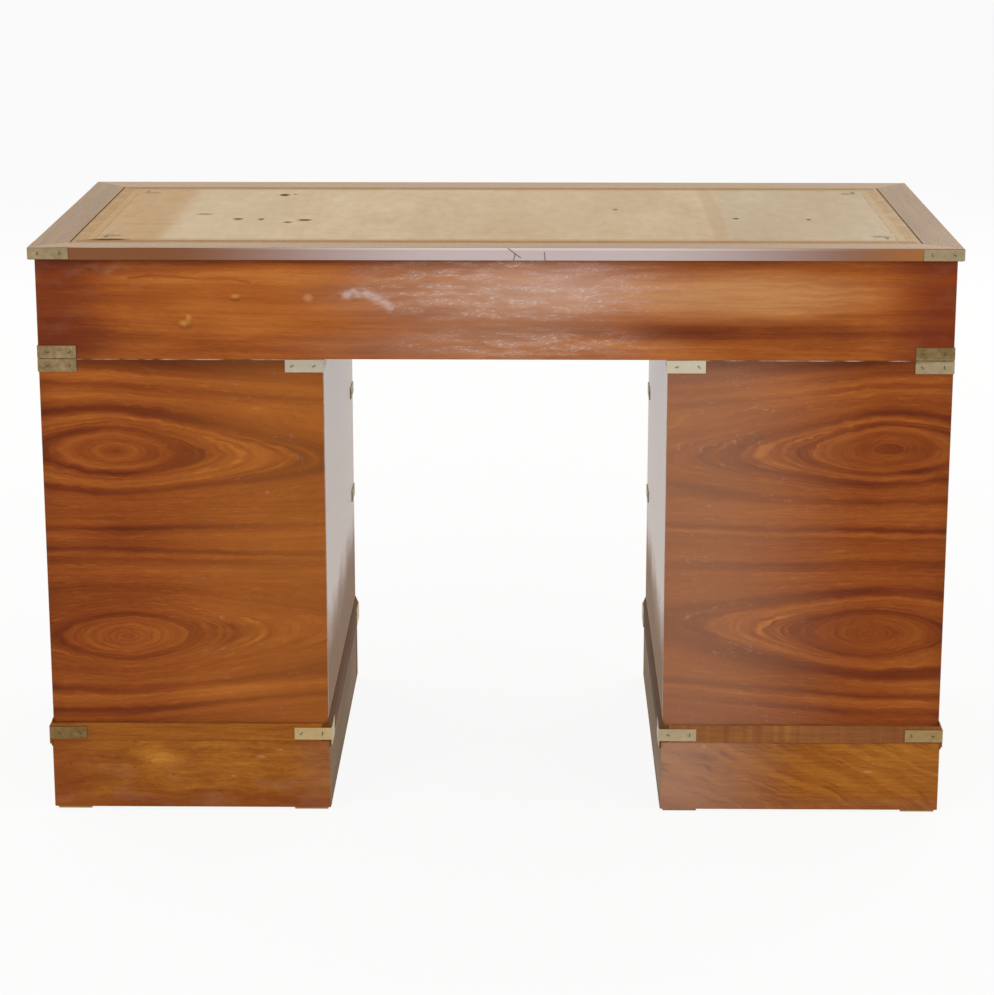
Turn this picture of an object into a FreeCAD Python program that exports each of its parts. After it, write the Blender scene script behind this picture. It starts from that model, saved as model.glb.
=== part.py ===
import FreeCAD, Part
import math
import os
import re

import Sketcher

# Campaign pedestal desk: a leather-topped case with three frieze drawers, lifted off and on two
# pedestals of three drawers each, with brass straps at the corners and flush military handles.
# Millimetres. Z is up, the drawers face -Y, the plain back faces +Y, and the origin is on the
# floor under the middle of the top. Left and right are those of a person sitting at the desk.

Vector = FreeCAD.Vector
Rotation = FreeCAD.Rotation
UP = Vector(0, 0, 1)

SIZES = [
    # the whole desk
    ("overall_length", "1220", "top, over the screws of its brass straps"),
    ("overall_depth", "610", "top, front to back over the screws of its straps"),
    ("overall_height", "780", "floor to leather"),
    # top
    ("top_thickness", "17", "border boards of the top"),
    ("leather_thickness", "1", "writing leather"),
    ("border_side", "48", "wood border at the ends of the leather"),
    ("border_back", "38", "wood border behind the leather"),
    ("border_front", "58", "wood border in front of the leather"),
    ("side_overhang", "8", "top past each end of the case"),
    ("back_overhang", "10", "top past the back of the case"),
    ("front_overhang", "12", "top past the front of the case"),
    # carcasses
    ("case_height", "133", "case under the top"),
    ("pedestal_width", "375", "each pedestal"),
    ("board_thickness", "18", "end boards, rails and drawer fronts"),
    ("back_thickness", "12", "back panels"),
    ("kicker_thickness", "12", "top rails and kickers of the case"),
    ("rail_depth", "60", "front rails, front to back"),
    ("runner_width", "40", "drawer runners, kickers and back rails"),
    ("top_drawer_opening", "137", "height of the top opening in a pedestal"),
    ("middle_drawer_opening", "143", "height of the middle opening in a pedestal"),
    # dowels between case and pedestals
    ("dowel_radius", "5", "locating dowel"),
    ("dowel_length", "24", "locating dowel, half of it in each carcass"),
    ("dowel_clearance", "0.5", "round a dowel in the case"),
    ("dowel_glue_gap", "0.05", "round a dowel in its pedestal"),
    ("dowel_inset", "120", "dowel from the front or back face"),
    # plinth
    ("plinth_height", "125", "floor to the pedestal"),
    ("plinth_proud", "2", "plinth boards past the pedestal's faces"),
    ("foot_height", "4", "glide under the plinth"),
    ("foot_side", "46", "glide, square"),
    ("foot_inset", "4", "glide from the plinth's faces"),
    ("glue_block_side", "30", "block in a plinth corner, square"),
    # base moulding
    ("moulding_proud", "4", "moulding past the pedestal's faces"),
    ("moulding_rise", "6", "moulding above the plinth's top"),
    ("moulding_drop", "33", "moulding below the plinth's top"),
    ("moulding_bevel", "10", "height of the moulding's bevelled top"),
    ("moulding_lip", "0.7", "thickness left at the bevel's top"),
    ("moulding_quirk", "4", "height of the bevel under the moulding"),
    ("back_strip_drop", "24", "strip on the back, below the plinth's top"),
    # brass straps
    ("brass_gauge", "1.2", "thickness of every strap"),
    ("strap_leg", "50", "length of a strap's leg"),
    ("strap_height", "17", "height of the carcass straps"),
    ("top_strap_leg", "52", "leg of a strap on the top's edge"),
    ("top_strap_height", "15", "height of a strap on the top's edge"),
    ("plinth_strap_drop", "13.5", "middle of a plinth strap below the plinth's top"),
    ("screw_radius", "2.6", "head of a strap screw"),
    ("screw_gap", "0.05", "round a screw head in its strap"),
    ("screw_proud", "0.4", "screw head past the strap"),
    ("screw_near", "12", "first screw from the corner"),
    ("screw_far", "41", "second screw from the corner"),
    # drawers
    ("front_gap", "1.5", "round a drawer front"),
    ("running_gap", "0.5", "drawer above its runner"),
    ("drawer_room", "48", "behind a closed drawer, to the back panel"),
    ("lining_thickness", "10", "drawer sides and back"),
    ("bottom_thickness", "5", "drawer bottom"),
    ("bottom_rise", "9", "drawer bottom above the lower edge of the sides"),
    ("side_drop", "14", "drawer sides below the top of the front"),
    ("stop_height", "6", "drawer stop"),
    ("stop_length", "30", "drawer stop, along the rail"),
    ("stop_depth", "12", "drawer stop, front to back"),
    ("stop_gap", "0.3", "drawer stop behind a closed front"),
    ("stop_spacing", "120", "between the two stops of a drawer"),
    # flush handles
    ("plate_length", "92", "handle plate"),
    ("plate_height", "46", "handle plate"),
    ("plate_gauge", "1.5", "handle plate, let in flush"),
    ("cup_length", "74", "inside of the cup"),
    ("cup_height", "34", "inside of the cup"),
    ("cup_depth", "10", "inside of the cup, from the plate's face"),
    ("cup_wall", "1.2", "wall of the cup"),
    ("plate_screw_radius", "2", "head of a plate screw"),
    ("plate_screw_proud", "0.4", "head of a plate screw past the plate"),
    ("plate_screw_edge", "4", "plate screw from the plate's ends"),
    ("plate_screw_spacing", "28", "between plate screws, up and down"),
    ("pivot_rise", "8", "bail's pivot above the middle of the plate"),
    ("pivot_depth", "4.5", "bail's pivot behind the plate's face"),
    ("pivot_radius", "1.5", "pivot pin"),
    ("pivot_gap", "0.1", "round a pivot pin in the bail's eye"),
    ("bail_radius", "2.2", "bar of the bail"),
    ("bail_drop", "16", "pivot to the middle of the grip"),
    ("bail_bend", "5", "bend between arm and grip, at the bar's middle"),
    ("eye_radius", "3.4", "eye at the end of an arm"),
    ("eye_width", "5", "eye along the pivot"),
    ("eye_gap", "0.5", "eye to the cup's end wall"),
    ("centre_handle_spacing", "230", "between the two handles of the wide drawer"),
]

doc = FreeCAD.newDocument("campaign_desk")
sheet = doc.addObject("Spreadsheet::Sheet", "Sizes")
for row, (alias, value, meaning) in enumerate(SIZES, start=1):
    sheet.set(f"A{row}", alias)
    sheet.set(f"B{row}", value)
    sheet.setAlias(f"B{row}", alias)
    sheet.set(f"C{row}", meaning)
doc.recompute()

sub_parts = []


def bound(formula):
    """A formula in the sheet's names, as an expression that reads the sheet."""
    return re.sub(r"[a-z_]+", lambda name: f"Sizes.{name.group()}", formula)


def bind(target, **formulas):
    """Tie properties of an object to formulas in the sheet's names."""
    for name, formula in formulas.items():
        target.setExpression(name, bound(formula))


def place(target, x, y, z):
    """Tie an object's position to formulas in the sheet's names."""
    for axis, formula in (("x", x), ("y", y), ("z", z)):
        target.setExpression(f"Placement.Base.{axis}", bound(formula))


def board(name, x, y, z):
    """A board between two planes along each axis."""
    box = doc.addObject("Part::Box", name)
    bind(box, Length=f"({x[1]}) - ({x[0]})", Width=f"({y[1]}) - ({y[0]})", Height=f"({z[1]}) - ({z[0]})")
    place(box, x[0], y[0], z[0])
    return box


def mitred_board(name, outer, inner, y, z):
    """A board whose length changes evenly from outer, at y[0], to inner, at y[1]."""
    wedge = doc.addObject("Part::Wedge", name)
    bind(wedge, Xmin=outer[0], Xmax=outer[1], X2min=inner[0], X2max=inner[1])
    bind(wedge, Ymin=y[0], Ymax=y[1], Zmin=z[0], Zmax=z[1], Z2min=z[0], Z2max=z[1])
    return wedge


def frustum(name, base, top, z):
    """A block whose plan changes evenly from base to top; each plan is (x low, x high, y low, y high)."""
    wedge = doc.addObject("Part::Wedge", name)
    bind(wedge, Xmin=base[0], Xmax=base[1], Zmin=f"-({base[3]})", Zmax=f"-({base[2]})")
    bind(wedge, X2min=top[0], X2max=top[1], Z2min=f"-({top[3]})", Z2max=f"-({top[2]})")
    bind(wedge, Ymin=z[0], Ymax=z[1])
    wedge.Placement.Rotation = Rotation(Vector(1, 0, 0), 90)
    return wedge


def rod(name, radius, length, direction, x, y, z):
    """A round bar that starts at a point and runs along direction."""
    cylinder = doc.addObject("Part::Cylinder", name)
    bind(cylinder, Radius=radius, Height=length)
    cylinder.Placement.Rotation = Rotation(UP, direction)
    place(cylinder, x, y, z)
    return cylinder


def fuse(name, pieces):
    joined = doc.addObject("Part::MultiFuse", name)
    joined.Shapes = pieces
    return joined


def cut(name, base, tool):
    result = doc.addObject("Part::Cut", name)
    result.Base = base
    result.Tool = tool
    return result


def group(name, pieces):
    compound = doc.addObject("Part::Compound", name)
    compound.Links = pieces
    return compound


def mirrored(name, source):
    """The same piece on the other side of the desk."""
    mirror = doc.addObject("Part::Mirroring", name)
    mirror.Source = source
    mirror.Base = Vector(0, 0, 0)
    mirror.Normal = Vector(1, 0, 0)
    return mirror


def sub_part(label, *pieces):
    """One named sub-part, of one piece or of several separate ones."""
    part = pieces[0] if len(pieces) == 1 else group(label, list(pieces))
    part.Label = label
    sub_parts.append(part)
    return part


def mirrored_pair(name, *pieces):
    """A right-hand sub-part and its left-hand twin."""
    right = sub_part(f"right_{name}", *pieces)
    sub_part(f"left_{name}", mirrored(f"left_{name}", right))


# ---- planes that the pieces share -------------------------------------------------------------

case_end = "(overall_length/2 - side_overhang)"
case_back = "(overall_depth/2 - back_overhang)"
case_front = "(front_overhang - overall_depth/2)"
panel_face = f"({case_back} - back_thickness)"
case_top = "(overall_height - top_thickness)"
case_base = f"({case_top} - case_height)"
case_floor = f"({case_base} + board_thickness)"
frieze_ceiling = f"({case_top} - kicker_thickness)"
end_inner = f"({case_end} - board_thickness)"
knee = f"({case_end} - pedestal_width)"
knee_inner = f"({knee} + board_thickness)"
pedestal_floor = "(plinth_height + board_thickness)"
pedestal_ceiling = f"({case_base} - board_thickness)"
upper_rail_top = f"({pedestal_ceiling} - top_drawer_opening)"
upper_rail_bottom = f"({upper_rail_top} - board_thickness)"
lower_rail_top = f"({upper_rail_bottom} - middle_drawer_opening)"
lower_rail_bottom = f"({lower_rail_top} - board_thickness)"
rail_back = f"({case_front} + rail_depth)"
back_rail_face = f"({panel_face} - runner_width)"
front_back = f"({case_front} + board_thickness)"


# ---- top --------------------------------------------------------------------------------------

top_edge = "(overall_length/2 - brass_gauge - screw_proud)"
top_back = "(overall_depth/2 - brass_gauge - screw_proud)"
leather_end = f"({top_edge} - border_side)"
leather_back = f"({top_back} - border_back)"
leather_front = f"(border_front - {top_back})"
leather_base = "(overall_height - leather_thickness)"


def make_top():
    x = (f"-{leather_end}", leather_end)
    y = (leather_front, leather_back)
    sub_part("writing_leather", board("writing_leather", x, y, (leather_base, "overall_height")))
    sub_part("top_core_board", board("top_core_board", x, y, (case_top, leather_base)))

    z = (case_top, "overall_height")
    full = (f"-{top_edge}", top_edge)
    front = mitred_board("front_border", full, x, (f"-{top_back}", leather_front), z)
    back = mitred_board("back_border", x, full, (leather_back, top_back), z)
    blank = board("end_border_blank", (leather_end, top_edge), (f"-{top_back}", top_back), z)
    end = cut("end_border", blank, group("border_mitres", [front, back]))
    sub_part("top_border_boards", front, back, end, mirrored("end_border_left", end))


# ---- case -------------------------------------------------------------------------------------

def dowel_places():
    """The two dowel centres in the right-hand pedestal."""
    x = f"(({case_end} + {knee})/2)"
    return [(x, f"({case_front} + dowel_inset)"), (x, f"({panel_face} - dowel_inset)")]


def make_case():
    across = (f"-{case_end}", case_end)
    between = (f"-{end_inner}", end_inner)
    full_depth = (case_front, panel_face)
    height = (case_base, case_top)
    sub_part("case_back_panel", board("case_back_panel", across, (panel_face, case_back), height))

    end = board("case_end", (end_inner, case_end), full_depth, height)
    sub_part("case_end_boards", end, mirrored("case_end_left", end))

    divider = board("divider", (knee, knee_inner), full_depth, (case_floor, frieze_ceiling))
    sub_part("case_dividers", divider, mirrored("divider_left", divider))

    plank = board("case_bottom_plank", between, full_depth, (case_base, case_floor))
    sockets = []
    for number, (x, y) in enumerate(dowel_places()):
        socket = rod(f"socket{number}", "dowel_radius + dowel_clearance", "dowel_length/2 + dowel_clearance",
                     UP, x, y, case_base)
        sockets += [socket, mirrored(f"socket_left{number}", socket)]
    bottom = cut("case_bottom", plank, fuse("sockets", sockets))
    z = (frieze_ceiling, case_top)
    pieces = [bottom]
    pieces.append(board("case_top_rail", between, (case_front, rail_back), z))
    pieces.append(board("case_back_rail", between, (back_rail_face, panel_face), z))
    middle = f"(({knee} + {knee_inner})/2)"
    kicker = board("kicker", (f"{middle} - runner_width/2", f"{middle} + runner_width/2"),
                   (rail_back, back_rail_face), z)
    pieces += [kicker, mirrored("kicker_left", kicker)]
    frieze_stops = stops("frieze_side", (knee_inner, end_inner), case_floor)
    pieces += frieze_stops + [mirrored(f"{stop.Name}_left", stop) for stop in frieze_stops]
    pieces += stops("frieze_centre", (f"-{knee}", knee), case_floor)
    sub_part("case_frame", *pieces)


def stops(name, x, floor):
    """Two small blocks on a rail, which a closed drawer's front comes up against."""
    y = (f"{front_back} + stop_gap", f"{front_back} + stop_gap + stop_depth")
    blocks = []
    for number, side in enumerate(("-", "+")):
        middle = f"(({x[0]}) + ({x[1]}))/2 {side} stop_spacing/2"
        span = (f"{middle} - stop_length/2", f"{middle} + stop_length/2")
        blocks.append(board(f"{name}_stop{number}", span, y, (floor, f"{floor} + stop_height")))
    return blocks


# ---- pedestals --------------------------------------------------------------------------------

def make_pedestals():
    full_depth = (case_front, panel_face)
    z = ("plinth_height", case_base)
    inside = (knee_inner, end_inner)
    mirrored_pair("pedestal_sides",
                  board("outer_side", (end_inner, case_end), full_depth, z),
                  board("inner_side", (knee, knee_inner), full_depth, z))
    mirrored_pair("pedestal_back_panel", board("pedestal_back", (knee, case_end), (panel_face, case_back), z))

    plank = board("pedestal_top_plank", inside, full_depth, (pedestal_ceiling, case_base))
    holes = []
    dowels = []
    for number, (x, y) in enumerate(dowel_places()):
        start = f"{case_base} - dowel_length/2"
        holes.append(rod(f"dowel_hole{number}", "dowel_radius", "dowel_length/2", UP, x, y, start))
        dowel = rod(f"dowel{number}", "dowel_radius - dowel_glue_gap", "dowel_length", UP, x, y, start)
        dowels += [dowel, mirrored(f"dowel_left{number}", dowel)]
    pieces = [cut("pedestal_top", plank, fuse("dowel_holes", holes))]
    pieces.append(board("pedestal_bottom", inside, full_depth, ("plinth_height", pedestal_floor)))
    pieces += stops("bottom_drawer", inside, pedestal_floor)
    for name, low, high in (("upper", upper_rail_bottom, upper_rail_top),
                            ("lower", lower_rail_bottom, lower_rail_top)):
        level = (low, high)
        between = (rail_back, back_rail_face)
        pieces.append(board(f"{name}_front_rail", inside, (case_front, rail_back), level))
        pieces.append(board(f"{name}_back_rail", inside, (back_rail_face, panel_face), level))
        pieces.append(board(f"{name}_outer_runner", (f"{end_inner} - runner_width", end_inner), between, level))
        pieces.append(board(f"{name}_inner_runner", (knee_inner, f"{knee_inner} + runner_width"), between, level))
        pieces += stops(f"{name}_drawer", inside, high)
    mirrored_pair("pedestal_frame", *pieces)
    sub_part("locating_dowels", *dowels)


# ---- plinths ----------------------------------------------------------------------------------

plinth_x = (f"({knee} - plinth_proud)", f"({case_end} + plinth_proud)")
plinth_y = (f"({case_front} - plinth_proud)", f"({case_back} + plinth_proud)")


def corner_square(corner_x, corner_y, side, inset):
    """Spans of a square inside a plinth's corner, inset from both faces."""
    x = (f"{plinth_x[0]} + {inset}", f"{plinth_x[0]} + {inset} + {side}")
    y = (f"{plinth_y[0]} + {inset}", f"{plinth_y[0]} + {inset} + {side}")
    if corner_x:
        x = (f"{plinth_x[1]} - {inset} - {side}", f"{plinth_x[1]} - {inset}")
    if corner_y:
        y = (f"{plinth_y[1]} - {inset} - {side}", f"{plinth_y[1]} - {inset}")
    return x, y


def make_plinths():
    z = ("foot_height", "plinth_height")
    front = (plinth_y[0], f"{plinth_y[0]} + board_thickness")
    back = (f"{plinth_y[1]} - board_thickness", plinth_y[1])
    pieces = [board("plinth_front", plinth_x, front, z), board("plinth_back", plinth_x, back, z)]
    for name, x in (("outer", (f"{plinth_x[1]} - board_thickness", plinth_x[1])),
                    ("inner", (plinth_x[0], f"{plinth_x[0]} + board_thickness"))):
        pieces.append(board(f"plinth_{name}", x, (front[1], back[0]), z))
    feet = []
    for corner_x in (False, True):
        for corner_y in (False, True):
            name = f"{int(corner_x)}{int(corner_y)}"
            x, y = corner_square(corner_x, corner_y, "glue_block_side", "board_thickness")
            pieces.append(board(f"glue_block{name}", x, y, z))
            x, y = corner_square(corner_x, corner_y, "foot_side", "foot_inset")
            foot = board(f"foot{name}", x, y, ("0", "foot_height"))
            feet += [foot, mirrored(f"foot_left{name}", foot)]
    mirrored_pair("plinth", *pieces)
    sub_part("feet", *feet)


def outline(past):
    """Plan of the pedestal, enlarged on every side but the back, which is cut square."""
    return (f"{knee} - ({past})", f"{case_end} + ({past})", f"{case_front} - ({past})",
            f"{case_back} + moulding_proud")


def make_mouldings():
    """Front and side mouldings, mitred at the front corners, with a flat strip across the back."""
    bottom = "(plinth_height - moulding_drop)"
    shoulder = "(plinth_height + moulding_rise - moulding_bevel)"
    quirk = f"({bottom} + moulding_quirk)"
    top = "(plinth_height + moulding_rise)"
    proud = outline("moulding_proud")
    blank = fuse("moulding_blank", [
        frustum("moulding_foot", outline("plinth_proud + moulding_lip"), proud, (bottom, quirk)),
        board("moulding_face", proud[:2], proud[2:], (quirk, shoulder)),
        frustum("moulding_slope", proud, outline("moulding_lip"), (shoulder, top))])
    core = fuse("moulding_core", [
        board("plinth_core", plinth_x, (plinth_y[0], plinth_y[1]), (bottom, "plinth_height")),
        board("pedestal_core", (knee, case_end), (case_front, case_back), ("plinth_height", top)),
        board("back_gap", (knee, case_end), (case_back, proud[3]), (bottom, top)),
        board("back_gap_low", plinth_x, (case_back, proud[3]), (bottom, "plinth_height"))])
    lengths = cut("moulding_lengths", blank, core)
    middle = f"(({case_end} + {knee})/2)"
    reach = "(pedestal_width/2 + moulding_proud)"
    zone = mitred_board("front_mitres", (f"{middle} - {reach}", f"{middle} + {reach}"),
                        (f"{middle} - moulding_proud/2", f"{middle} + moulding_proud/2"),
                        (proud[2], f"{proud[2]} + {reach} - moulding_proud/2"), (bottom, top))
    front = doc.addObject("Part::Common", "front_moulding")
    front.Base = lengths
    front.Tool = zone
    sides = cut("side_mouldings", lengths, zone)
    strip = board("back_strip", plinth_x, (plinth_y[1], proud[3]),
                  ("plinth_height - back_strip_drop", "plinth_height"))
    sub_part("plinth_mouldings", *both_sides([front, sides, strip]))


# ---- brass straps -----------------------------------------------------------------------------

class Corner:
    """A vertical corner that a strap wraps: the planes of its two faces, and the way out of each."""

    def __init__(self, name, x_face, x_out, y_face, y_out):
        self.name = name
        self.x_face = x_face
        self.x_out = x_out
        self.y_face = y_face
        self.y_out = y_out

    def span(self, face, out, start, end):
        """Two planes at distances from a face, outwards positive, low one first."""
        near = f"{face} + {out}*({start})"
        far = f"{face} + {out}*({end})"
        return (near, far) if out > 0 else (far, near)


def strap(corner, level, leg, height, side_z=None):
    """An L of flat brass round a corner, drilled, and its screws; side_z is for a taller leg on the X face."""
    name = f"{corner.name}_strap"
    face_z = (f"{level} - {height}/2", f"{level} + {height}/2")
    side_z = side_z or face_z
    face_leg = board(f"{name}_face_leg", corner.span(corner.x_face, corner.x_out, f"-{leg}", "brass_gauge"),
                     corner.span(corner.y_face, corner.y_out, "0", "brass_gauge"), face_z)
    side_leg = board(f"{name}_side_leg", corner.span(corner.x_face, corner.x_out, "0", "brass_gauge"),
                     corner.span(corner.y_face, corner.y_out, f"-{leg}", "brass_gauge"), side_z)
    brass = fuse(name, [face_leg, side_leg])
    screws = []
    holes = []
    for number, inset in enumerate(("screw_near", "screw_far")):
        across = (f"{corner.x_face} - {corner.x_out}*{inset}", corner.y_face)
        along = (corner.x_face, f"{corner.y_face} - {corner.y_out}*{inset}")
        for way, (x, y), direction in (("y", across, Vector(0, corner.y_out, 0)),
                                       ("x", along, Vector(corner.x_out, 0, 0))):
            screws.append(rod(f"{name}_screw{number}{way}", "screw_radius", "brass_gauge + screw_proud",
                              direction, x, y, level))
            holes.append(rod(f"{name}_hole{number}{way}", "screw_radius + screw_gap", "brass_gauge",
                             direction, x, y, level))
    return cut(f"{name}_drilled", brass, fuse(f"{name}_holes", holes)), screws


def both_sides(pieces):
    return pieces + [mirrored(f"{piece.Name}_left", piece) for piece in pieces]


def make_straps():
    ends = (("back", case_back, 1), ("front", case_front, -1))
    rails = {"back": [], "front": [f"({upper_rail_top} - board_thickness/2)",
                                   f"({lower_rail_top} - board_thickness/2)"]}
    case_joint = f"({case_base} + board_thickness/2)"
    pedestal_joint = f"({case_base} - board_thickness/2)"
    plinth_level = "(plinth_height - plinth_strap_drop)"
    moulding_z = ("plinth_height - moulding_drop + moulding_quirk",
                  "plinth_height + moulding_rise - moulding_bevel")

    top_straps = []
    case_straps = []
    case_screws = []
    stand_straps = []
    stand_screws = []
    for end, face, out in ends:
        corner = Corner(f"top_{end}", top_edge, 1, f"{out}*{top_back}", out)
        brass, screws = strap(corner, "(overall_height - top_thickness/2)", "top_strap_leg", "top_strap_height")
        top_straps.append(brass)
        case_screws += screws
        corner = Corner(f"case_{end}", case_end, 1, face, out)
        brass, screws = strap(corner, case_joint, "strap_leg", "strap_height")
        case_straps.append(brass)
        case_screws += screws
        for side, x_face, x_out in (("outer", case_end, 1), ("inner", knee, -1)):
            for number, level in enumerate([pedestal_joint] + rails[end]):
                corner = Corner(f"pedestal_{side}_{end}{number}", x_face, x_out, face, out)
                brass, screws = strap(corner, level, "strap_leg", "strap_height")
                stand_straps.append(brass)
                stand_screws += screws
            corner = Corner(f"plinth_{side}_{end}", f"({x_face} + {x_out}*moulding_proud)", x_out,
                            f"({face} + {out}*moulding_proud)", out)
            brass, screws = strap(corner, plinth_level, "strap_leg", "strap_height", moulding_z)
            stand_straps.append(brass)
            stand_screws += screws
    sub_part("top_corner_straps", *both_sides(top_straps))
    sub_part("case_corner_straps", *both_sides(case_straps))
    sub_part("case_strap_screws", *both_sides(case_screws))
    sub_part("stand_corner_straps", *both_sides(stand_straps))
    sub_part("stand_strap_screws", *both_sides(stand_screws))


# ---- flush handles ----------------------------------------------------------------------------

def origin_plane(body, role):
    return next(plane for plane in body.Origin.OriginFeatures if plane.Role == role)


def sketch_on(body, name, role, offset="0"):
    """A sketch on one of a body's own planes, moved along its normal by offset."""
    sketch = body.newObject("Sketcher::SketchObject", name)
    sketch.AttachmentSupport = [(origin_plane(body, role), "")]
    sketch.MapMode = "FlatFace"
    sketch.setExpression("AttachmentOffset.Base.z", bound(offset))
    return sketch


def dimension(sketch, constraint, formula):
    """Add a dimension to a sketch and tie it to the sheet."""
    sketch.setExpression(f"Constraints[{sketch.addConstraint(constraint)}]", bound(formula))


def draw_rectangle(sketch, width, height):
    """A rectangle centred on the sketch's origin."""
    corners = [Vector(-9, -5), Vector(9, -5), Vector(9, 5), Vector(-9, 5)]
    for number in range(4):
        sketch.addGeometry(Part.LineSegment(corners[number], corners[(number + 1) % 4]))
    for number in range(4):
        sketch.addConstraint(Sketcher.Constraint("Coincident", number, 2, (number + 1) % 4, 1))
        sketch.addConstraint(Sketcher.Constraint("Horizontal" if number % 2 == 0 else "Vertical", number))
    sketch.addConstraint(Sketcher.Constraint("Symmetric", 0, 1, 2, 1, -1, 1))
    dimension(sketch, Sketcher.Constraint("DistanceX", 0, 1, 0, 2, 18), width)
    dimension(sketch, Sketcher.Constraint("DistanceY", 1, 1, 1, 2, 10), height)


def draw_circle(sketch, radius, across="0"):
    """A circle at a distance across from the sketch's origin."""
    sketch.addGeometry(Part.Circle(Vector(1, 0), UP, 2))
    sketch.addConstraint(Sketcher.Constraint("PointOnObject", 0, 3, -1))
    dimension(sketch, Sketcher.Constraint("Radius", 0, 2), radius)
    dimension(sketch, Sketcher.Constraint("DistanceX", -1, 1, 0, 3, 1), across)


def handle_plate(name, x, z):
    """A plate with a sunk cup, let in flush with a drawer front, with its pins and screws."""
    body = doc.addObject("PartDesign::Body", name)
    for layer, width, height, depth in (
            ("face", "plate_length", "plate_height", "plate_gauge"),
            ("shell", "cup_length + 2*cup_wall", "cup_height + 2*cup_wall", "cup_depth + cup_wall")):
        profile = sketch_on(body, f"{name}_{layer}_profile", "XZ_Plane")
        draw_rectangle(profile, width, height)
        pad = body.newObject("PartDesign::Pad", f"{name}_{layer}")
        pad.Profile = profile
        pad.Reversed = True
        bind(pad, Length=depth)
    mouth = sketch_on(body, f"{name}_mouth", "XZ_Plane")
    draw_rectangle(mouth, "cup_length", "cup_height")
    cup = body.newObject("PartDesign::Pocket", f"{name}_cup")
    cup.Profile = mouth
    bind(cup, Length="cup_depth")
    place(body, x, case_front, z)

    pieces = [body]
    for side in ("-", "+"):
        direction = Vector(1 if side == "-" else -1, 0, 0)
        pieces.append(rod(f"{name}_pin{len(pieces)}", "pivot_radius", "eye_gap + eye_width", direction,
                          f"{x} {side} cup_length/2", f"{case_front} + pivot_depth", f"{z} + pivot_rise"))
    for side in ("-", "+"):
        for level in ("-", "+"):
            pieces.append(rod(f"{name}_screw{len(pieces)}", "plate_screw_radius", "plate_screw_proud",
                              Vector(0, -1, 0), f"{x} {side} (plate_length/2 - plate_screw_edge)",
                              case_front, f"{z} {level} plate_screw_spacing/2"))
    return pieces


def handle_recess(name, x, z):
    """The stepped recess in a drawer front that holds a handle plate and its cup."""
    recess = []
    for step, length, height, depth in (
            ("rebate", "plate_length", "plate_height", "plate_gauge"),
            ("well", "cup_length + 2*cup_wall", "cup_height + 2*cup_wall", "cup_depth + cup_wall")):
        recess.append(board(f"{name}_{step}", (f"{x} - ({length})/2", f"{x} + ({length})/2"),
                            (case_front, f"{case_front} + {depth}"),
                            (f"{z} - ({height})/2", f"{z} + ({height})/2")))
    return recess


arm = "(cup_length/2 - eye_gap - eye_width/2)"


def bail(name, x, z):
    """A bar bent to a U, hanging from an eye at each end; its origin is on the pivot."""
    body = doc.addObject("PartDesign::Body", name)
    route = sketch_on(body, f"{name}_route", "XZ_Plane")
    # rough places of the five runs, which the constraints then settle
    half = 34
    drop = 16
    bend = 5
    left_bend = Part.Circle(Vector(bend - half, bend - drop), UP, bend)
    right_bend = Part.Circle(Vector(half - bend, bend - drop), UP, bend)
    route.addGeometry(Part.LineSegment(Vector(-half, 0), Vector(-half, bend - drop)))
    route.addGeometry(Part.ArcOfCircle(left_bend, math.pi, 1.5*math.pi))
    route.addGeometry(Part.LineSegment(Vector(bend - half, -drop), Vector(half - bend, -drop)))
    route.addGeometry(Part.ArcOfCircle(right_bend, 1.5*math.pi, 2*math.pi))
    route.addGeometry(Part.LineSegment(Vector(half, bend - drop), Vector(half, 0)))
    for first, first_end, second, second_end in ((0, 2, 1, 1), (1, 2, 2, 1), (2, 2, 3, 1), (3, 2, 4, 1)):
        route.addConstraint(Sketcher.Constraint("Tangent", first, first_end, second, second_end))
    route.addConstraint(Sketcher.Constraint("Vertical", 0))
    route.addConstraint(Sketcher.Constraint("Horizontal", 2))
    route.addConstraint(Sketcher.Constraint("Symmetric", 0, 1, 4, 2, -1, 1))
    route.addConstraint(Sketcher.Constraint("Equal", 1, 3))
    dimension(route, Sketcher.Constraint("Radius", 1, bend), "bail_bend")
    dimension(route, Sketcher.Constraint("DistanceX", 0, 1, 4, 2, 2*half), f"2*{arm}")
    dimension(route, Sketcher.Constraint("DistanceY", 2, 1, 0, 1, drop), "bail_drop")
    section = sketch_on(body, f"{name}_section", "XY_Plane")
    draw_circle(section, "bail_radius", f"-{arm}")
    bar = body.newObject("PartDesign::AdditivePipe", f"{name}_bar")
    bar.Profile = section
    bar.Spine = (route, [])

    for side, start in (("left", f"-{arm} - eye_width/2"), ("right", f"{arm} - eye_width/2")):
        disc = sketch_on(body, f"{name}_{side}_disc", "YZ_Plane", start)
        draw_circle(disc, "eye_radius")
        eye = body.newObject("PartDesign::Pad", f"{name}_{side}_eye")
        eye.Profile = disc
        bind(eye, Length="eye_width")
    bore = sketch_on(body, f"{name}_bore", "YZ_Plane", f"{arm} + eye_width/2")
    draw_circle(bore, "pivot_radius + pivot_gap")
    hole = body.newObject("PartDesign::Pocket", f"{name}_hole")
    hole.Profile = bore
    bind(hole, Length=f"2*{arm} + eye_width")
    place(body, x, f"{case_front} + pivot_depth", f"{z} + pivot_rise")
    return body


# ---- drawers ----------------------------------------------------------------------------------

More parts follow.
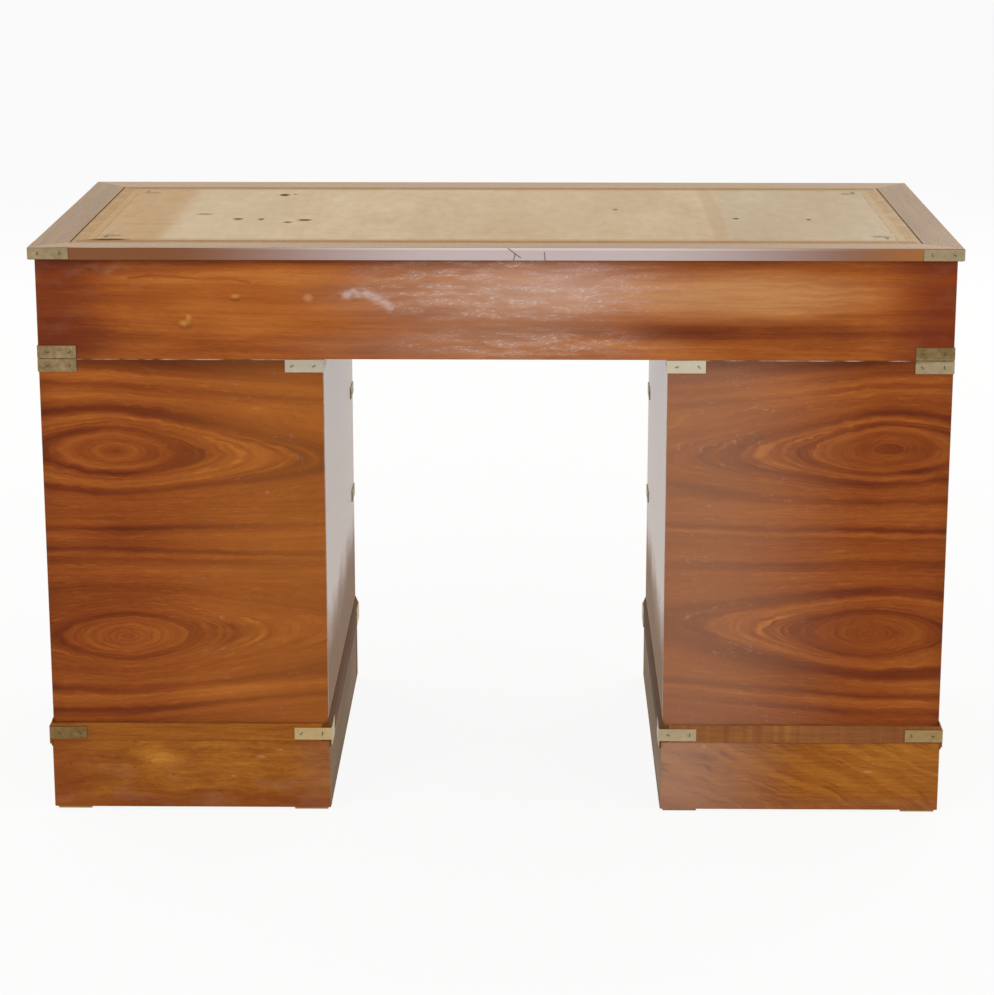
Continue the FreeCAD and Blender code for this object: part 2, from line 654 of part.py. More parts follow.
def drawer(name, x, z, handles):
    """Front, box, handle plates and bails of the drawer in one opening, by the kind of piece."""
    front_x = (f"{x[0]} + front_gap", f"{x[1]} - front_gap")
    front_z = (f"{z[0]} + front_gap", f"{z[1]} - front_gap")
    level = f"(({z[0]} + {z[1]})/2)"
    slab = board(f"{name}_slab", front_x, (case_front, front_back), front_z)
    recess = []
    plates = []
    bails = []
    for number, handle_x in enumerate(handles):
        recess += handle_recess(f"{name}_handle{number}", handle_x, level)
        plates += handle_plate(f"{name}_plate{number}", handle_x, level)
        bails.append(bail(f"{name}_bail{number}", handle_x, level))
    front = cut(f"{name}_front", slab, fuse(f"{name}_recess", recess))

    y = (front_back, f"{panel_face} - drawer_room")
    low = f"({z[0]} + running_gap)"
    side_z = (low, f"{z[1]} - front_gap - side_drop")
    floor_z = (f"{low} + bottom_rise", f"{low} + bottom_rise + bottom_thickness")
    inside = (f"{front_x[0]} + lining_thickness", f"{front_x[1]} - lining_thickness")
    box = [board(f"{name}_left_side", (front_x[0], inside[0]), y, side_z),
           board(f"{name}_right_side", (inside[1], front_x[1]), y, side_z),
           board(f"{name}_back", inside, (f"{y[1]} - lining_thickness", y[1]), (floor_z[1], side_z[1])),
           board(f"{name}_bottom", inside, y, floor_z)]
    return {"front": front, "box": group(f"{name}_box", box), "handle_plate": group(f"{name}_plates", plates),
            "bail": bails}


def make_drawers():
    inside = (knee_inner, end_inner)
    middle = f"(({knee_inner} + {end_inner})/2)"
    openings = {"frieze": (case_floor, frieze_ceiling), "top": (upper_rail_top, pedestal_ceiling),
                "middle": (lower_rail_top, upper_rail_bottom), "bottom": (pedestal_floor, lower_rail_bottom)}
    for name, z in openings.items():
        pieces = drawer(name, inside, z, [middle])
        pieces["bail"] = pieces["bail"][0]
        for kind, piece in pieces.items():
            mirrored_pair(f"{name}_{kind}", piece)

    spacing = "centre_handle_spacing/2"
    pieces = drawer("frieze_centre", (f"-{knee}", knee), openings["frieze"], [f"-{spacing}", spacing])
    left_bail, right_bail = pieces.pop("bail")
    for kind, piece in pieces.items():
        sub_part(f"centre_frieze_{kind}", piece)
    sub_part("centre_frieze_left_bail", left_bail)
    sub_part("centre_frieze_right_bail", right_bail)


make_top()
make_case()
make_pedestals()
make_plinths()
make_mouldings()
make_straps()
make_drawers()
doc.recompute()

for item in doc.Objects:
    if "Invalid" in item.State or "Error" in item.State:
        raise RuntimeError(f"{item.Name} failed to build: {item.State}")
for part in sub_parts:
    if part.Shape.isNull() or not part.Shape.isValid():
        raise RuntimeError(f"{part.Label} has no valid shape")

os.makedirs("parts", exist_ok=True)
for part in sub_parts:
    part.Shape.exportStep(f"parts/{part.Label}.step")
    box = part.Shape.BoundBox
    print(f"{part.Label}: {len(part.Shape.Solids)} solids, {part.Shape.Volume/1000:.1f} cm3, "
          f"x {box.XMin:.1f} {box.XMax:.1f}, y {box.YMin:.1f} {box.YMax:.1f}, z {box.ZMin:.1f} {box.ZMax:.1f}")
print(len(sub_parts), "sub-parts")
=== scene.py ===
"""The looks of a campaign desk: figured mahogany, tooled leather, brass corner straps and flush handles."""
import math
import random
from functools import reduce

import bmesh
import bpy
from mathutils import Matrix, Vector


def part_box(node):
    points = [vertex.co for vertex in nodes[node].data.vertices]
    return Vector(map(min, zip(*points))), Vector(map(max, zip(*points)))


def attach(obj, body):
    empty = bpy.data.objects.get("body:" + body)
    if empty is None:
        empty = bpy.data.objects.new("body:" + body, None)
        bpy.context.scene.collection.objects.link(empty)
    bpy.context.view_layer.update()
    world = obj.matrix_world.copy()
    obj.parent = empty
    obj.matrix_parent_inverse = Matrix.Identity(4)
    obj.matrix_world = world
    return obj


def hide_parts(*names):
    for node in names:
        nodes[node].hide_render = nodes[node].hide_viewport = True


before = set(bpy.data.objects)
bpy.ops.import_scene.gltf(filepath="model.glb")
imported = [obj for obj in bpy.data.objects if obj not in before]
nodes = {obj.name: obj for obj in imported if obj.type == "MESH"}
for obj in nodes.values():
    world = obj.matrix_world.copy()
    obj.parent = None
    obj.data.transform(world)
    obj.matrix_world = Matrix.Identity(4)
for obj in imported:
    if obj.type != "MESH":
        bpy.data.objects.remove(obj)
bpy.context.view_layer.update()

MM = 0.001


# ---------------------------------------------------------------- a small language for procedural finishes

def linear(code):
    """A colour written as six hex digits, as Blender's linear RGBA."""
    parts = [int(code[i:i + 2], 16) / 255 for i in (0, 2, 4)]
    return [p / 12.92 if p <= 0.04045 else ((p + 0.055) / 1.055) ** 2.4 for p in parts] + [1.0]


def arithmetic(operation, swapped=False):
    """A method of Field that adds a Math node. Swapped, the field is the second of its two values."""
    def method(self, other=0.0):
        first, second = (other, self) if swapped else (self, other)
        return self.finish.math(operation, first, second)
    return method


class Field:
    """A number that varies over a surface: a node's output, with arithmetic that adds Math nodes."""

    def __init__(self, finish, socket):
        self.finish = finish
        self.socket = socket

    __add__ = arithmetic("ADD")
    __sub__ = arithmetic("SUBTRACT")
    __mul__ = arithmetic("MULTIPLY")
    __truediv__ = arithmetic("DIVIDE")
    __radd__ = arithmetic("ADD", swapped=True)
    __rsub__ = arithmetic("SUBTRACT", swapped=True)
    __rmul__ = arithmetic("MULTIPLY", swapped=True)
    __abs__ = arithmetic("ABSOLUTE")
    root = arithmetic("SQRT")
    least = arithmetic("MINIMUM")
    most = arithmetic("MAXIMUM")
    above = arithmetic("GREATER_THAN")   # 1 where the field is over a level, and 0 elsewhere

    def rise(self, start, end):
        """0 at start and beyond, 1 at end and beyond, with a smooth slope between them."""
        node = self.finish.node("ShaderNodeMapRange", {
            "Value": self, "From Min": min(start, end), "From Max": max(start, end),
            "To Min": float(start > end), "To Max": float(start < end)}, interpolation_type="SMOOTHSTEP")
        return Field(self.finish, node.outputs["Result"])

    def choose(self, where_0, where_1):
        """One value or field where this one is 0, and another where it is 1."""
        return where_0 + (where_1 - where_0) * self


def span(u, v):
    """The length of the longest side over two sides at a right angle."""
    return (u * u + v * v).root()


class Finish:
    """A procedural material, plain or worn. Its x, y and z are millimetres of the desk's frame, at rest."""

    def __init__(self, name, worn=False):
        self.worn = worn
        self.material = bpy.data.materials.new(name + ("_edge" if worn else ""))
        self.material.use_nodes = True
        self.tree = self.material.node_tree
        self.shader = self.tree.nodes["Principled BSDF"]
        coordinates = self.node("ShaderNodeTexCoord")
        self.x, self.y, self.z = [part / MM for part in self.split(coordinates.outputs["Object"])]
        self.facing = self.split(coordinates.outputs["Normal"])

    def node(self, kind, inputs=None, **settings):
        """Adds a node with its settings, and a value or a link for each input that is named or numbered."""
        made = self.tree.nodes.new(kind)
        for name, value in settings.items():
            setattr(made, name, value)
        for key, value in (inputs or {}).items():
            self.join(value, made.inputs[key])
        return made

    def join(self, value, socket):
        """Links a Field or an output to an input, or writes a plain value or colour code into it."""
        if isinstance(value, Field):
            value = value.socket
        if isinstance(value, bpy.types.NodeSocket):
            self.tree.links.new(value, socket)
        elif isinstance(value, str):
            socket.default_value = linear(value)
        else:
            socket.default_value = value

    def split(self, vector):
        """The three parts of a vector or a colour."""
        return [Field(self, output) for output in self.node("ShaderNodeSeparateXYZ", {0: vector}).outputs]

    def math(self, operation, first, second=0.0):
        return Field(self, self.node("ShaderNodeMath", {0: first, 1: second}, operation=operation).outputs[0])

    def noise(self, u, v, w=0.0, detail=3.0, roughness=0.5):
        """Soft noise about 0.5, its features about one unit of u, v and w wide. A plain w picks a slice."""
        place = self.node("ShaderNodeCombineXYZ", {0: u, 1: v, 2: w})
        node = self.node("ShaderNodeTexNoise", {
            "Vector": place.outputs[0], "Scale": 1.0, "Detail": detail, "Roughness": roughness})
        return Field(self, node.outputs["Fac"])

    @staticmethod
    def patch(u, v, place, size, soft=0.6):
        """1 in an ellipse about a place on the u and v axes, falling to 0 at its rim over a soft share."""
        return span((u - place[0]) / size[0], (v - place[1]) / size[1]).rise(1.0, 1.0 - soft)

    def upright_patch(self, place, size, soft=0.6):
        """A patch placed on the x and z axes, for faces that are seen from behind or from the front."""
        return self.patch(self.x, self.z, place, size, soft)

    @staticmethod
    def line(distance, width):
        """1 along the line where a distance is 0, and 0 past half of its width."""
        return abs(distance).rise(width / 2, width / 6)

    @staticmethod
    def stroke(u, v, start, end, width, soft=0.7):
        """1 along a straight stroke between two places on the u and v axes, with soft sides."""
        run = (end[0] - start[0], end[1] - start[1])
        length_squared = run[0] ** 2 + run[1] ** 2
        share = (((u - start[0]) * run[0] + (v - start[1]) * run[1]) / length_squared).most(0.0).least(1.0)
        distance = span(u - start[0] - share * run[0], v - start[1] - share * run[1])
        return distance.rise(width / 2, width / 2 * (1 - soft))

    def strokes(self, u, v, places, width, soft=0.7):
        """1 along the strokes that join a row of places."""
        return reduce(Field.most, [self.stroke(u, v, start, end, width, soft)
                                   for start, end in zip(places, places[1:])])

    def coloured(self, field, stops, interpolation):
        """Colours along a field, as (position, RGBA)."""
        node = self.node("ShaderNodeValToRGB", {"Fac": field})
        node.color_ramp.interpolation = interpolation
        elements = node.color_ramp.elements
        while len(elements) < len(stops):
            elements.new(0.5)
        for element, (position, colour) in zip(elements, stops):
            element.position = position
            element.color = colour
        return node.outputs["Color"]

    def ramp(self, field, stops):
        """Colours, as (position, code), along a field."""
        return self.coloured(field, [(position, linear(code)) for position, code in stops], "LINEAR")

    def levels(self, field, stops):
        """A Field of values, as (place, value) in rising order, along a field of places."""
        start, end = stops[0][0], stops[-1][0]
        greys = [((place - start) / (end - start), (value, value, value, 1.0)) for place, value in stops]
        return self.split(self.coloured((field - start) / (end - start), greys, "EASE"))[0]

    def mix(self, factor, first, second):
        return self.node("ShaderNodeMix", {0: factor, 6: first, 7: second}, data_type="RGBA").outputs[2]

    def tint(self, colour, *tints):
        """A colour with others laid over it in turn, each as (share, code)."""
        for share, code in tints:
            colour = self.mix(share, colour, code)
        return colour

    def dim(self, colour, level):
        """A colour made darker or lighter by a field about 1."""
        return self.node("ShaderNodeVectorMath", {0: colour, "Scale": level}, operation="SCALE").outputs[0]

    def complete(self, colour, roughness, height=None, **constants):
        """Joins colour, roughness and a relief in millimetres to the shader, and sets its plain values."""
        self.join(colour, self.shader.inputs["Base Color"])
        self.join(roughness, self.shader.inputs["Roughness"])
        if height is not None:
            bump = self.node("ShaderNodeBump", {"Height": height, "Distance": MM})
            self.join(bump.outputs[0], self.shader.inputs["Normal"])
        for name, value in constants.items():
            self.join(value, self.shader.inputs[name.replace("_", " ")])
        return self.material


# ---------------------------------------------------------------- wood

GRAIN = {   # the places along and across the grain of boards that run along an axis
    "x": lambda f: (f.x, f.y + f.z),
    "y": lambda f: (f.y, f.x + f.z),
    "z": lambda f: (f.z, f.x + f.y),
}
WORN = "b08458"
GRIME = "2a1709"
VARNISH_ROUGHNESS = 0.34
VARNISH_SPECULAR = 0.12
BORDER_SPECULAR = 0.07
LEATHER_SPECULAR = 0.05


def round_plinth(f, height):
    """Places along and across the grain of boards that go round a plinth."""
    end_face = abs(f.facing[0]).above(0.7)
    return end_face.choose(f.x, f.y), end_face.choose(height + f.y, height + f.x)


def lay_grain(f, along, across, depth, darkness, tones, roughness=VARNISH_ROUGHNESS, streaky=1.0):
    """Wood in pale to dark tones, with streaks, flecks and pores. Gives its colour, gloss and relief."""
    streaks = f.noise(along / 150, across / 5, depth, detail=4, roughness=0.6)
    flecks = f.noise(along / 16, across / 2.4, depth + 5, detail=3, roughness=0.6)
    pores = f.noise(along / 9, across / 0.9, depth + 9, detail=1).rise(0.62, 0.74)
    cloud = f.noise(along / 210, across / 120, depth + 13, detail=2)
    value = darkness + ((streaks - 0.5) * 0.55 + (flecks - 0.5) * 0.5) * streaky + (cloud - 0.5) * 0.4
    step = 1.0 / (len(tones) - 1)
    colour = f.ramp(value, [(index * step, tone) for index, tone in enumerate(tones)])
    colour = f.mix(pores * 0.3 * streaky, colour, GRIME)
    if f.worn:
        rubbed = f.noise(along / 35, across / 9, depth + 17, detail=4).rise(0.42, 0.62)
        colour = f.mix(rubbed * 0.4 + 0.1, colour, WORN)
    height = (flecks - 0.5) * 0.04 - pores * 0.04
    gloss = roughness + (streaks - 0.5) * 0.15 + (flecks - 0.5) * 0.15 + pores * 0.15
    return colour, gloss, height


def ribbon_grain(f, direction, tones, seed, band=22.0, contrast=0.6, roughness=VARNISH_ROUGHNESS, sway=30):
    """Wood with ribbon grain along one axis, its bands of a width in millimetres."""
    along, across = GRAIN[direction](f)
    across = across + (f.noise(along / 340, across / 150, seed + 1) - 0.5) * sway
    figure = f.noise(along / 460, across / band, seed + 3, roughness=0.55).rise(0.2, 0.8)
    return lay_grain(f, along, across, seed, (figure - 0.5) * contrast + 0.5, tones, roughness)


def straight_wood(name, *grain, **settings):
    """Gives a maker for the finish of wood with ribbon grain, plain or worn."""
    def make(worn):
        f = Finish(name, worn)
        return f.complete(*ribbon_grain(f, *grain, **settings), Specular_IOR_Level=VARNISH_SPECULAR)
    return make


def pedestal_side(worn):
    """Upright grain; the faces to the kneehole are polished and tinted tan as a painted reflection, and
    scuffed dull by shoes towards their foot, where a grey-green tint is a painted reflection.
    """
    f = Finish("side_mahogany", worn)
    surface, gloss, height = ribbon_grain(f, "z", CARCASS_TONES, 51, band=20, contrast=0.5, sway=24)
    inner = abs(f.x).rise(panel_low.x + 6, panel_low.x + 3)
    scuffed_foot_and_reflection = (f.z + (f.noise(f.y / 90, f.z / 60, 53, detail=3) - 0.5) * 70).rise(285, 185)
    # painted reflection: a tan tint on the faces to the kneehole, and a grey-green one towards their duller
    # foot
    surface = f.tint(surface, (inner * 0.45, "b4884a"), (inner * scuffed_foot_and_reflection * 0.4, "6e6650"))
    polish = inner.choose(gloss, (gloss - VARNISH_ROUGHNESS) * 0.2 + scuffed_foot_and_reflection * 0.36 + 0.2)
    return f.complete(surface, polish, height, Specular_IOR_Level=VARNISH_SPECULAR)


def dull_inside(f, surface, gloss, height, reach, tone):
    """Completes a finish whose faces to the kneehole, nearer to the middle than a reach, are dull and tinted
    with a tone: painted reflection on the plinths and painted shade on the mouldings.
    """
    inner = abs(f.x).rise(reach, reach - 1.5)
    # the tone is painted light: reflection on the plinths, shade on the mouldings
    surface = f.mix(inner * 0.7, surface, tone)
    return f.complete(surface, gloss + inner * 0.35, height, Specular_IOR_Level=VARNISH_SPECULAR)


# ---------------------------------------------------------------- figured veneer on the pedestals' backs

panel_low, panel_high = [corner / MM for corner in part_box("right_pedestal_back_panel")]
panel_middle = (panel_low.z + panel_high.z) / 2
RING_SLOPE = 0.43            # half the height of the smallest rings over half their length
RING_STRETCH = 250.0         # the distance from an eye at which the rings have become twice as slender
STRAIGHT = (105.0, 44.0)     # past the first height from an eye lines are straight, within the second closed
LINE_DRAW = 0.0006           # how much nearer to each other the lines draw for each millimetre inwards
AXIS_SLOPE = 0.04            # slope of the lines that run inwards from the eyes, towards the panel's middle
CLOSED_RINGS = (54.0, 70.0)  # past these heights from an eye the lines over and under it differ
TOP_SHADE = (608, 627)       # heights between which the panel darkens towards the case
TOP_ARRIS = (628.4, 629.0)   # heights between which its rubbed top edge begins


def figured_panel(name, upper_eye, lower_eye, upper_bands, lower_bands, shades, haze, seed):
    """Crown-cut veneer with two eyes, placed from its outer edge: lines arch past each and close round it.

    Its haze is a tone, the tone's share and the share of chalky marks.
    """
    haze_tone, haze_share, chalk_share = haze

    def make(worn):
        f = Finish(name, worn)
        inward = panel_high.x - abs(f.x)
        wander = (f.noise(f.x / 300, f.z / 90, seed, detail=1) - 0.5) * 14
        tremor = (f.noise(f.x / 24, f.z / 9, seed + 2, detail=4) - 0.5) * 7
        upper = f.z.above(panel_middle)
        eye_height = upper.choose(lower_eye[1], upper_eye[1])
        past_eye = inward - upper.choose(lower_eye[0], upper_eye[0])
        run = abs(past_eye + tremor * 2.5)
        rise = f.z + wander + tremor - eye_height + past_eye.most(0.0) * (upper * 2 - 1) * AXIS_SLOPE
        rise = rise * (past_eye.most(0.0) * LINE_DRAW + 1)
        closing = run * RING_SLOPE / (run / RING_STRETCH + 1) * abs(rise).rise(*STRAIGHT)
        ring = span(rise, closing)
        over, under = [upper.choose(f.levels(place, lower_bands), f.levels(place, upper_bands))
                       for place in (eye_height + ring, eye_height - ring)]
        differ = ring.rise(*CLOSED_RINGS) * (1 - rise.above(0.0))
        fading = f.noise(f.x / 150, ring / 30, f.z / 120 + seed, detail=2).rise(0.3, 0.65) * 0.5 + 0.5
        darkness = (differ.choose(over, under) - 0.5) * fading * (0.92 - ring.rise(34, 22) * 0.6) + 0.49
        fine_lines = f.noise(inward / 200, ring / 2.0, f.z / 200 + seed, detail=2) - 0.5
        broken = f.noise(inward / 40, f.z / 14, seed + 4, detail=2).rise(0.35, 0.6)
        arcs = abs(rise).rise(36, 14) * run.rise(80, 120) * broken
        darkness = darkness + fine_lines * (ring.rise(66, 36) * broken * 0.4 + arcs * 1.1 + 0.28)
        for place, size, amount in shades:
            darkness = darkness + f.patch(inward, f.z, place, size, soft=0.9) * amount
        surface, gloss, height = lay_grain(
            f, f.x, ring, f.z / 150 + seed, darkness, RED_MAHOGANY, streaky=0.6)
        glints = f.noise(f.x / 34, ring / 3.2, f.z / 60 + seed + 5, detail=3, roughness=0.6).rise(0.56, 0.72)
        glints = glints * (0.75 - darkness).most(0.0) * (0.8 - ring.rise(40, 26) * 0.5)
        chalky = f.noise(f.x / 12, ring / 3, seed + 9, detail=4, roughness=0.7).rise(0.54, 0.7)
        chalky = chalky * f.noise(f.x / 60, f.z / 22, seed + 11, detail=2).rise(0.5, 0.66)
        surface = f.tint(
            surface, (glints, "c4762c"), (inward.rise(90, 340) * haze_share, haze_tone),
            (chalky * inward.rise(110, 260) * chalk_share, "c4a69a"))
        # painted shade: darker under the case, and along the panel's outer edge
        surface = f.dim(surface, 1 - f.z.rise(*TOP_SHADE) * 0.36 - inward.rise(24, 0) * 0.12)
        rubbed = f.noise(f.x / 40, 2.0, seed, detail=3).rise(0.42, 0.6) * f.z.rise(*TOP_ARRIS)
        surface = f.mix(rubbed * 0.7, surface, "c9b39a")
        return f.complete(surface, gloss, height, Specular_IOR_Level=VARNISH_SPECULAR)
    return make


RED_MAHOGANY = ("b86a28", "9e541c", "874010", "6f2e0a", "5a2107")
# The veneer's lines: heights, and from 0 to 1 how dark the wood is at each.
RIGHT_UPPER_BANDS = (
    (377, 0.45), (388, 0.30), (394, 0.45), (400, 0.85), (407, 0.45), (430, 0.50), (458, 0.45), (504, 0.80),
    (510, 0.50), (517, 0.30), (523, 0.70), (529, 0.15), (537, 0.95), (545, 0.50), (552, 0.25), (564, 0.95),
    (573, 0.45), (581, 0.20), (589, 0.45), (596, 0.70), (604, 0.35), (613, 0.25), (621, 0.60), (630, 0.80))
RIGHT_LOWER_BANDS = (
    (125, 0.60), (130, 0.40), (142, 0.85), (150, 0.40), (160, 0.25), (173, 0.80), (182, 0.40), (191, 0.20),
    (201, 0.95), (212, 0.55), (230, 0.50), (249, 0.45), (255, 0.25), (260, 0.55), (266, 0.25), (272, 0.45),
    (278, 0.90), (286, 0.50), (300, 0.50), (314, 0.65), (326, 0.45), (342, 0.35), (355, 0.65), (362, 0.35),
    (370, 0.85), (377, 0.45))
LEFT_UPPER_BANDS = (
    (377, 0.50), (384, 0.60), (391, 0.30), (398, 0.85), (406, 0.50), (418, 0.40), (432, 0.45), (438, 0.80),
    (446, 0.45), (456, 0.30), (511, 0.75), (518, 0.60), (526, 0.70), (532, 0.55), (538, 0.25), (545, 0.75),
    (551, 0.35), (560, 0.85), (570, 0.45), (580, 0.45), (587, 0.25), (593, 0.55), (600, 0.30), (611, 0.55),
    (621, 0.45), (630, 0.75))
LEFT_LOWER_BANDS = (
    (125, 0.60), (131, 0.50), (138, 0.85), (146, 0.45), (154, 0.20), (164, 0.75), (173, 0.40), (184, 0.35),
    (194, 0.95), (203, 0.45), (212, 0.55), (257, 0.25), (262, 0.55), (269, 0.30), (277, 0.50), (287, 0.80),
    (295, 0.50), (304, 0.30), (315, 0.90), (326, 0.45), (340, 0.45), (353, 0.80), (362, 0.40), (377, 0.50))

figured_right = figured_panel(
    "figured_mahogany_right", (97, 506), (105, 249), RIGHT_UPPER_BANDS, RIGHT_LOWER_BANDS,
    (((185, 500), (70, 24), 0.16), ((97, 505), (22, 7), 0.14), ((110, 390), (90, 30), 0.18),
     ((230, 300), (110, 60), -0.14), ((240, 170), (120, 40), -0.12)),
    ("b4702c", 0.3, 0.15), seed=3)
figured_left = figured_panel(
    "figured_mahogany_left", (82, 511), (97, 257), LEFT_UPPER_BANDS, LEFT_LOWER_BANDS,
    (((80, 512), (70, 15), 0.16), ((95, 256), (90, 20), 0.1), ((30, 480), (60, 10), 0.2),
     ((230, 420), (140, 40), -0.1), ((230, 590), (90, 30), -0.14)),
    ("b0866a", 0.4, 0.35), seed=41)


# ---------------------------------------------------------------- the case's long back board

CASE_TONES = ("c07c3a", "ab6025", "924a17", "763610", "5a240b")
DARK_LINE = ((480, 737), (452, 741), (420, 740), (385, 736), (345, 737), (322, 732))
SMEAR = ((196, 716), (186, 719), (170, 718), (156, 712), (145, 706), (138, 700))
PALE_SPOTS = (((245, 712), (9, 8)), ((3, 688), (5, 6)))
KNOTS = (((407, 678), (11, 6)), ((340, 714), (10, 4)), ((402, 684), (5, 8)))


def case_back(worn):
    """Long level grain, darker at the ends, with old varnish that has crazed and hazed about its middle; its
    crazing is painted as pale glints.
    """
    f = Finish("case_back_mahogany", worn)
    across = f.z + (f.noise(f.x / 420, f.z / 70, 2.0, detail=2) - 0.5) * 24
    figure = (f.noise(f.x / 560, across / 24, 5.0, roughness=0.5).rise(0.2, 0.8) - 0.5) * 0.4 + 0.42
    low_band = f.upright_patch((-230, 669), (380, 22), soft=0.9)
    corner = f.upright_patch((560, 655), (190, 42), soft=0.9)
    warm = f.upright_patch((330, 708), (280, 56), soft=0.8)
    pale = f.upright_patch((-330, 716), (220, 46), soft=0.8)
    ends = abs(f.x).rise(480, 585)
    top = f.z.rise(748, 763)
    wavy = f.z + (f.noise(f.x / 75, f.z / 45, 33.0) - 0.5) * 30
    arches = f.noise(f.x / 150, wavy / 6, 31.0, detail=3) - 0.5
    clouds = f.noise(f.x / 120, f.z / 26, 35.0, detail=2) - 0.5
    ragged = (f.noise(f.x / 7, f.z / 4, 3.0, detail=4) - 0.5) * 9
    dark_line = f.strokes(f.x, f.z + ragged * 0.3, DARK_LINE, 6.0, soft=0.9)
    darkness = figure + low_band * 0.34 + corner * 0.25 - warm * 0.03 - pale * 0.26 + ends * 0.36 + top * 0.2
    darkness = darkness + clouds * 0.45 + arches * (pale * 0.8 + 0.12) + dark_line * 0.22
    surface, gloss, height = lay_grain(f, f.x, across, 11.0, darkness, CASE_TONES, streaky=0.65)
    middle = f.upright_patch((-20, 718), (330, 75), soft=0.9)
    lower = f.upright_patch((10, 648), (330, 40), soft=0.9)
    bloom = f.upright_patch((-80, 725), (170, 50), soft=0.9)
    crazed = f.upright_patch((-20, 724), (275, 62), soft=0.7)
    crazed = crazed.most(f.upright_patch((-40, 650), (230, 32), soft=0.9))
    clusters = f.noise(f.x / 48, f.z / 9, 9.0, detail=4).rise(0.4, 0.62)
    flow = f.z + f.x * 0.1 + (f.noise(f.x / 40, f.z / 24, 10.0, detail=3) - 0.5) * 20
    dashes = f.noise(f.x / 9, flow / 1.8, 7.0, detail=4, roughness=0.7).rise(0.51, 0.66)
    specks = f.noise(f.x / 2.6, f.z / 2.2, 8.0, detail=3).rise(0.6, 0.74)
    # the crazing's pale dashes and specks are painted glints on the cracked varnish
    crazing_and_glints = dashes.most(specks) * crazed * clusters
    surface = f.tint(
        surface, (warm * 0.25, "b0601c"), (pale * 0.42, "bc9268"),
        (ends * 0.3 + f.x.rise(-500, -590) * 0.2, "7a2c0c"),
        (middle * 0.5 + lower * 0.3, "c49c80"), (bloom * 0.16, "dccac6"),
        (crazed * clusters * 0.16, "d6c0b6"), (crazing_and_glints * 0.58, "eadcd6"))
    for place, size in KNOTS:
        surface = f.tint(
            surface, (f.patch(f.x + ragged, f.z + 5, place, size) * 0.3, "5a2a10"),
            (f.patch(f.x + ragged, f.z + ragged, place, size, soft=0.8) * 0.55, "cf8e46"))
    smear = f.strokes(f.x + ragged * 1.6, f.z + ragged * 1.2, SMEAR, 18, soft=0.95)
    thin = f.noise(f.x / 9, f.z / 5, 13.0, detail=3).rise(0.2, 0.6)
    surface = f.mix(smear * (thin * 0.5 + 0.1), surface, "cdb6ae")
    for place, size in PALE_SPOTS:
        surface = f.mix(f.upright_patch(place, size, soft=0.8) * 0.4, surface, "d49a70")
    dust = f.noise(f.x / 34, f.z / 20, 17.0, detail=4).rise(0.48, 0.75)
    dusty = f.upright_patch((500, 740), (80, 30), soft=0.9) * 0.28 + ends * 0.08
    surface = f.mix(dust * dusty, surface, "ac846c")
    return f.complete(surface, gloss, height + crazing_and_glints * 0.06, Specular_IOR_Level=VARNISH_SPECULAR)


# ---------------------------------------------------------------- the other wood

PLINTH_TONES = ("c08030", "a96820", "945417", "7e4212", "622f0d")
BORDER_TONES = ("b08248", "a3743a", "966430", "835426", "69401b")
CARCASS_TONES = ("a9683a", "975728", "83461e", "6d3616", "55270f")
FRONT_TONES = ("b06a34", "9c5726", "87451b", "703414", "57250d")
LINING_TONES = ("d2b283", "c29d69", "b08a56", "9a7443", "7d5a32")
GLIDE_TONES = ("e0c79a", "d2b27e", "c09a63", "a8814d", "8a6638")
BEECH_TONES = ("dcbd90", "cdaa78", "bd9763", "aa8352", "8c683e")

# grey-green painted reflection on the plinths' faces to the kneehole
PLINTH_INSIDE_REFLECTION = "766e54"
# dark painted shade on the mouldings' faces to the kneehole
MOULDING_INSIDE_SHADE = "3c2c1c"
MOULDING_SLOPE = 10.0      # how far outwards of the plinths' inner faces the mouldings are still dull and painted with shade
plinth_reach = -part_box("left_plinth")[1].x / MM + 1.5   # just outwards of the plinths' inner faces
PITS = ((537, 76), (580, 65), (493, 61), (440, 51), (472, 68), (395, 88), (310, 70))
PIT_SIZE = (3.4, 2.4)
PALE_NICKS = (((320, 77), (10, 3.5)), ((293, 87), (6, 2.5)), ((358, 49), (7, 2.5)),
              ((-284, 95), (4, 5)), ((-508, 59), (10, 3)))


def pale_nicks(f, surface):
    """Small ragged marks where the varnish has chipped off the plinths."""
    ragged = (f.noise(f.x / 2.6, f.z / 1.6, 64.0, detail=4, roughness=0.7) - 0.5) * 16
    for place, size in PALE_NICKS:
        nick = f.patch(f.x + ragged, f.z + ragged * 0.4, place, size, soft=0.9)
        surface = f.mix(nick * 0.34, surface, "d8a868")
    return surface


def plain_plinth(worn):
    """Mottled ochre mahogany with small pits, redder at its outer end and along its foot."""
    f = Finish("plinth_mahogany_right", worn)
    drift = f.z + (f.noise(f.x / 90, f.z / 40, 61.0) - 0.5) * 30
    mottle = f.noise(f.x / 70, drift / 26, 62.0, detail=3) - 0.5
    ripple = f.noise(f.x / 12, drift / 7, 63.0, detail=3, roughness=0.6) - 0.5
    bright = f.upright_patch((456, 76), (42, 18), soft=0.9)
    paler = f.upright_patch((330, 60), (110, 50), soft=0.9)
    darkness = mottle * 0.9 + ripple * 0.3 + 0.47 - bright * 0.35 - paler * 0.12
    surface, gloss, height = lay_grain(f, *round_plinth(f, drift), 67, darkness, PLINTH_TONES)
    reddened = f.x.rise(520, 590).most(f.z.rise(40, 8) * 0.9)
    pinkish = f.noise(f.x / 60, f.z / 26, 66.0, detail=2).rise(0.5, 0.7) * f.z.rise(90, 40)
    pinkish = pinkish + f.x.rise(290, 240) * 0.8
    surface = f.tint(surface, (reddened * 0.5, "7f3612"), (pinkish * 0.25, "a07058"))
    for place in PITS:
        pit = f.patch(f.x + ripple * 6, f.z, place, PIT_SIZE, soft=0.9)
        surface = f.mix(pit * 0.5, surface, "4c2a10")
    return dull_inside(f, pale_nicks(f, surface), gloss, height, plinth_reach, PLINTH_INSIDE_REFLECTION)


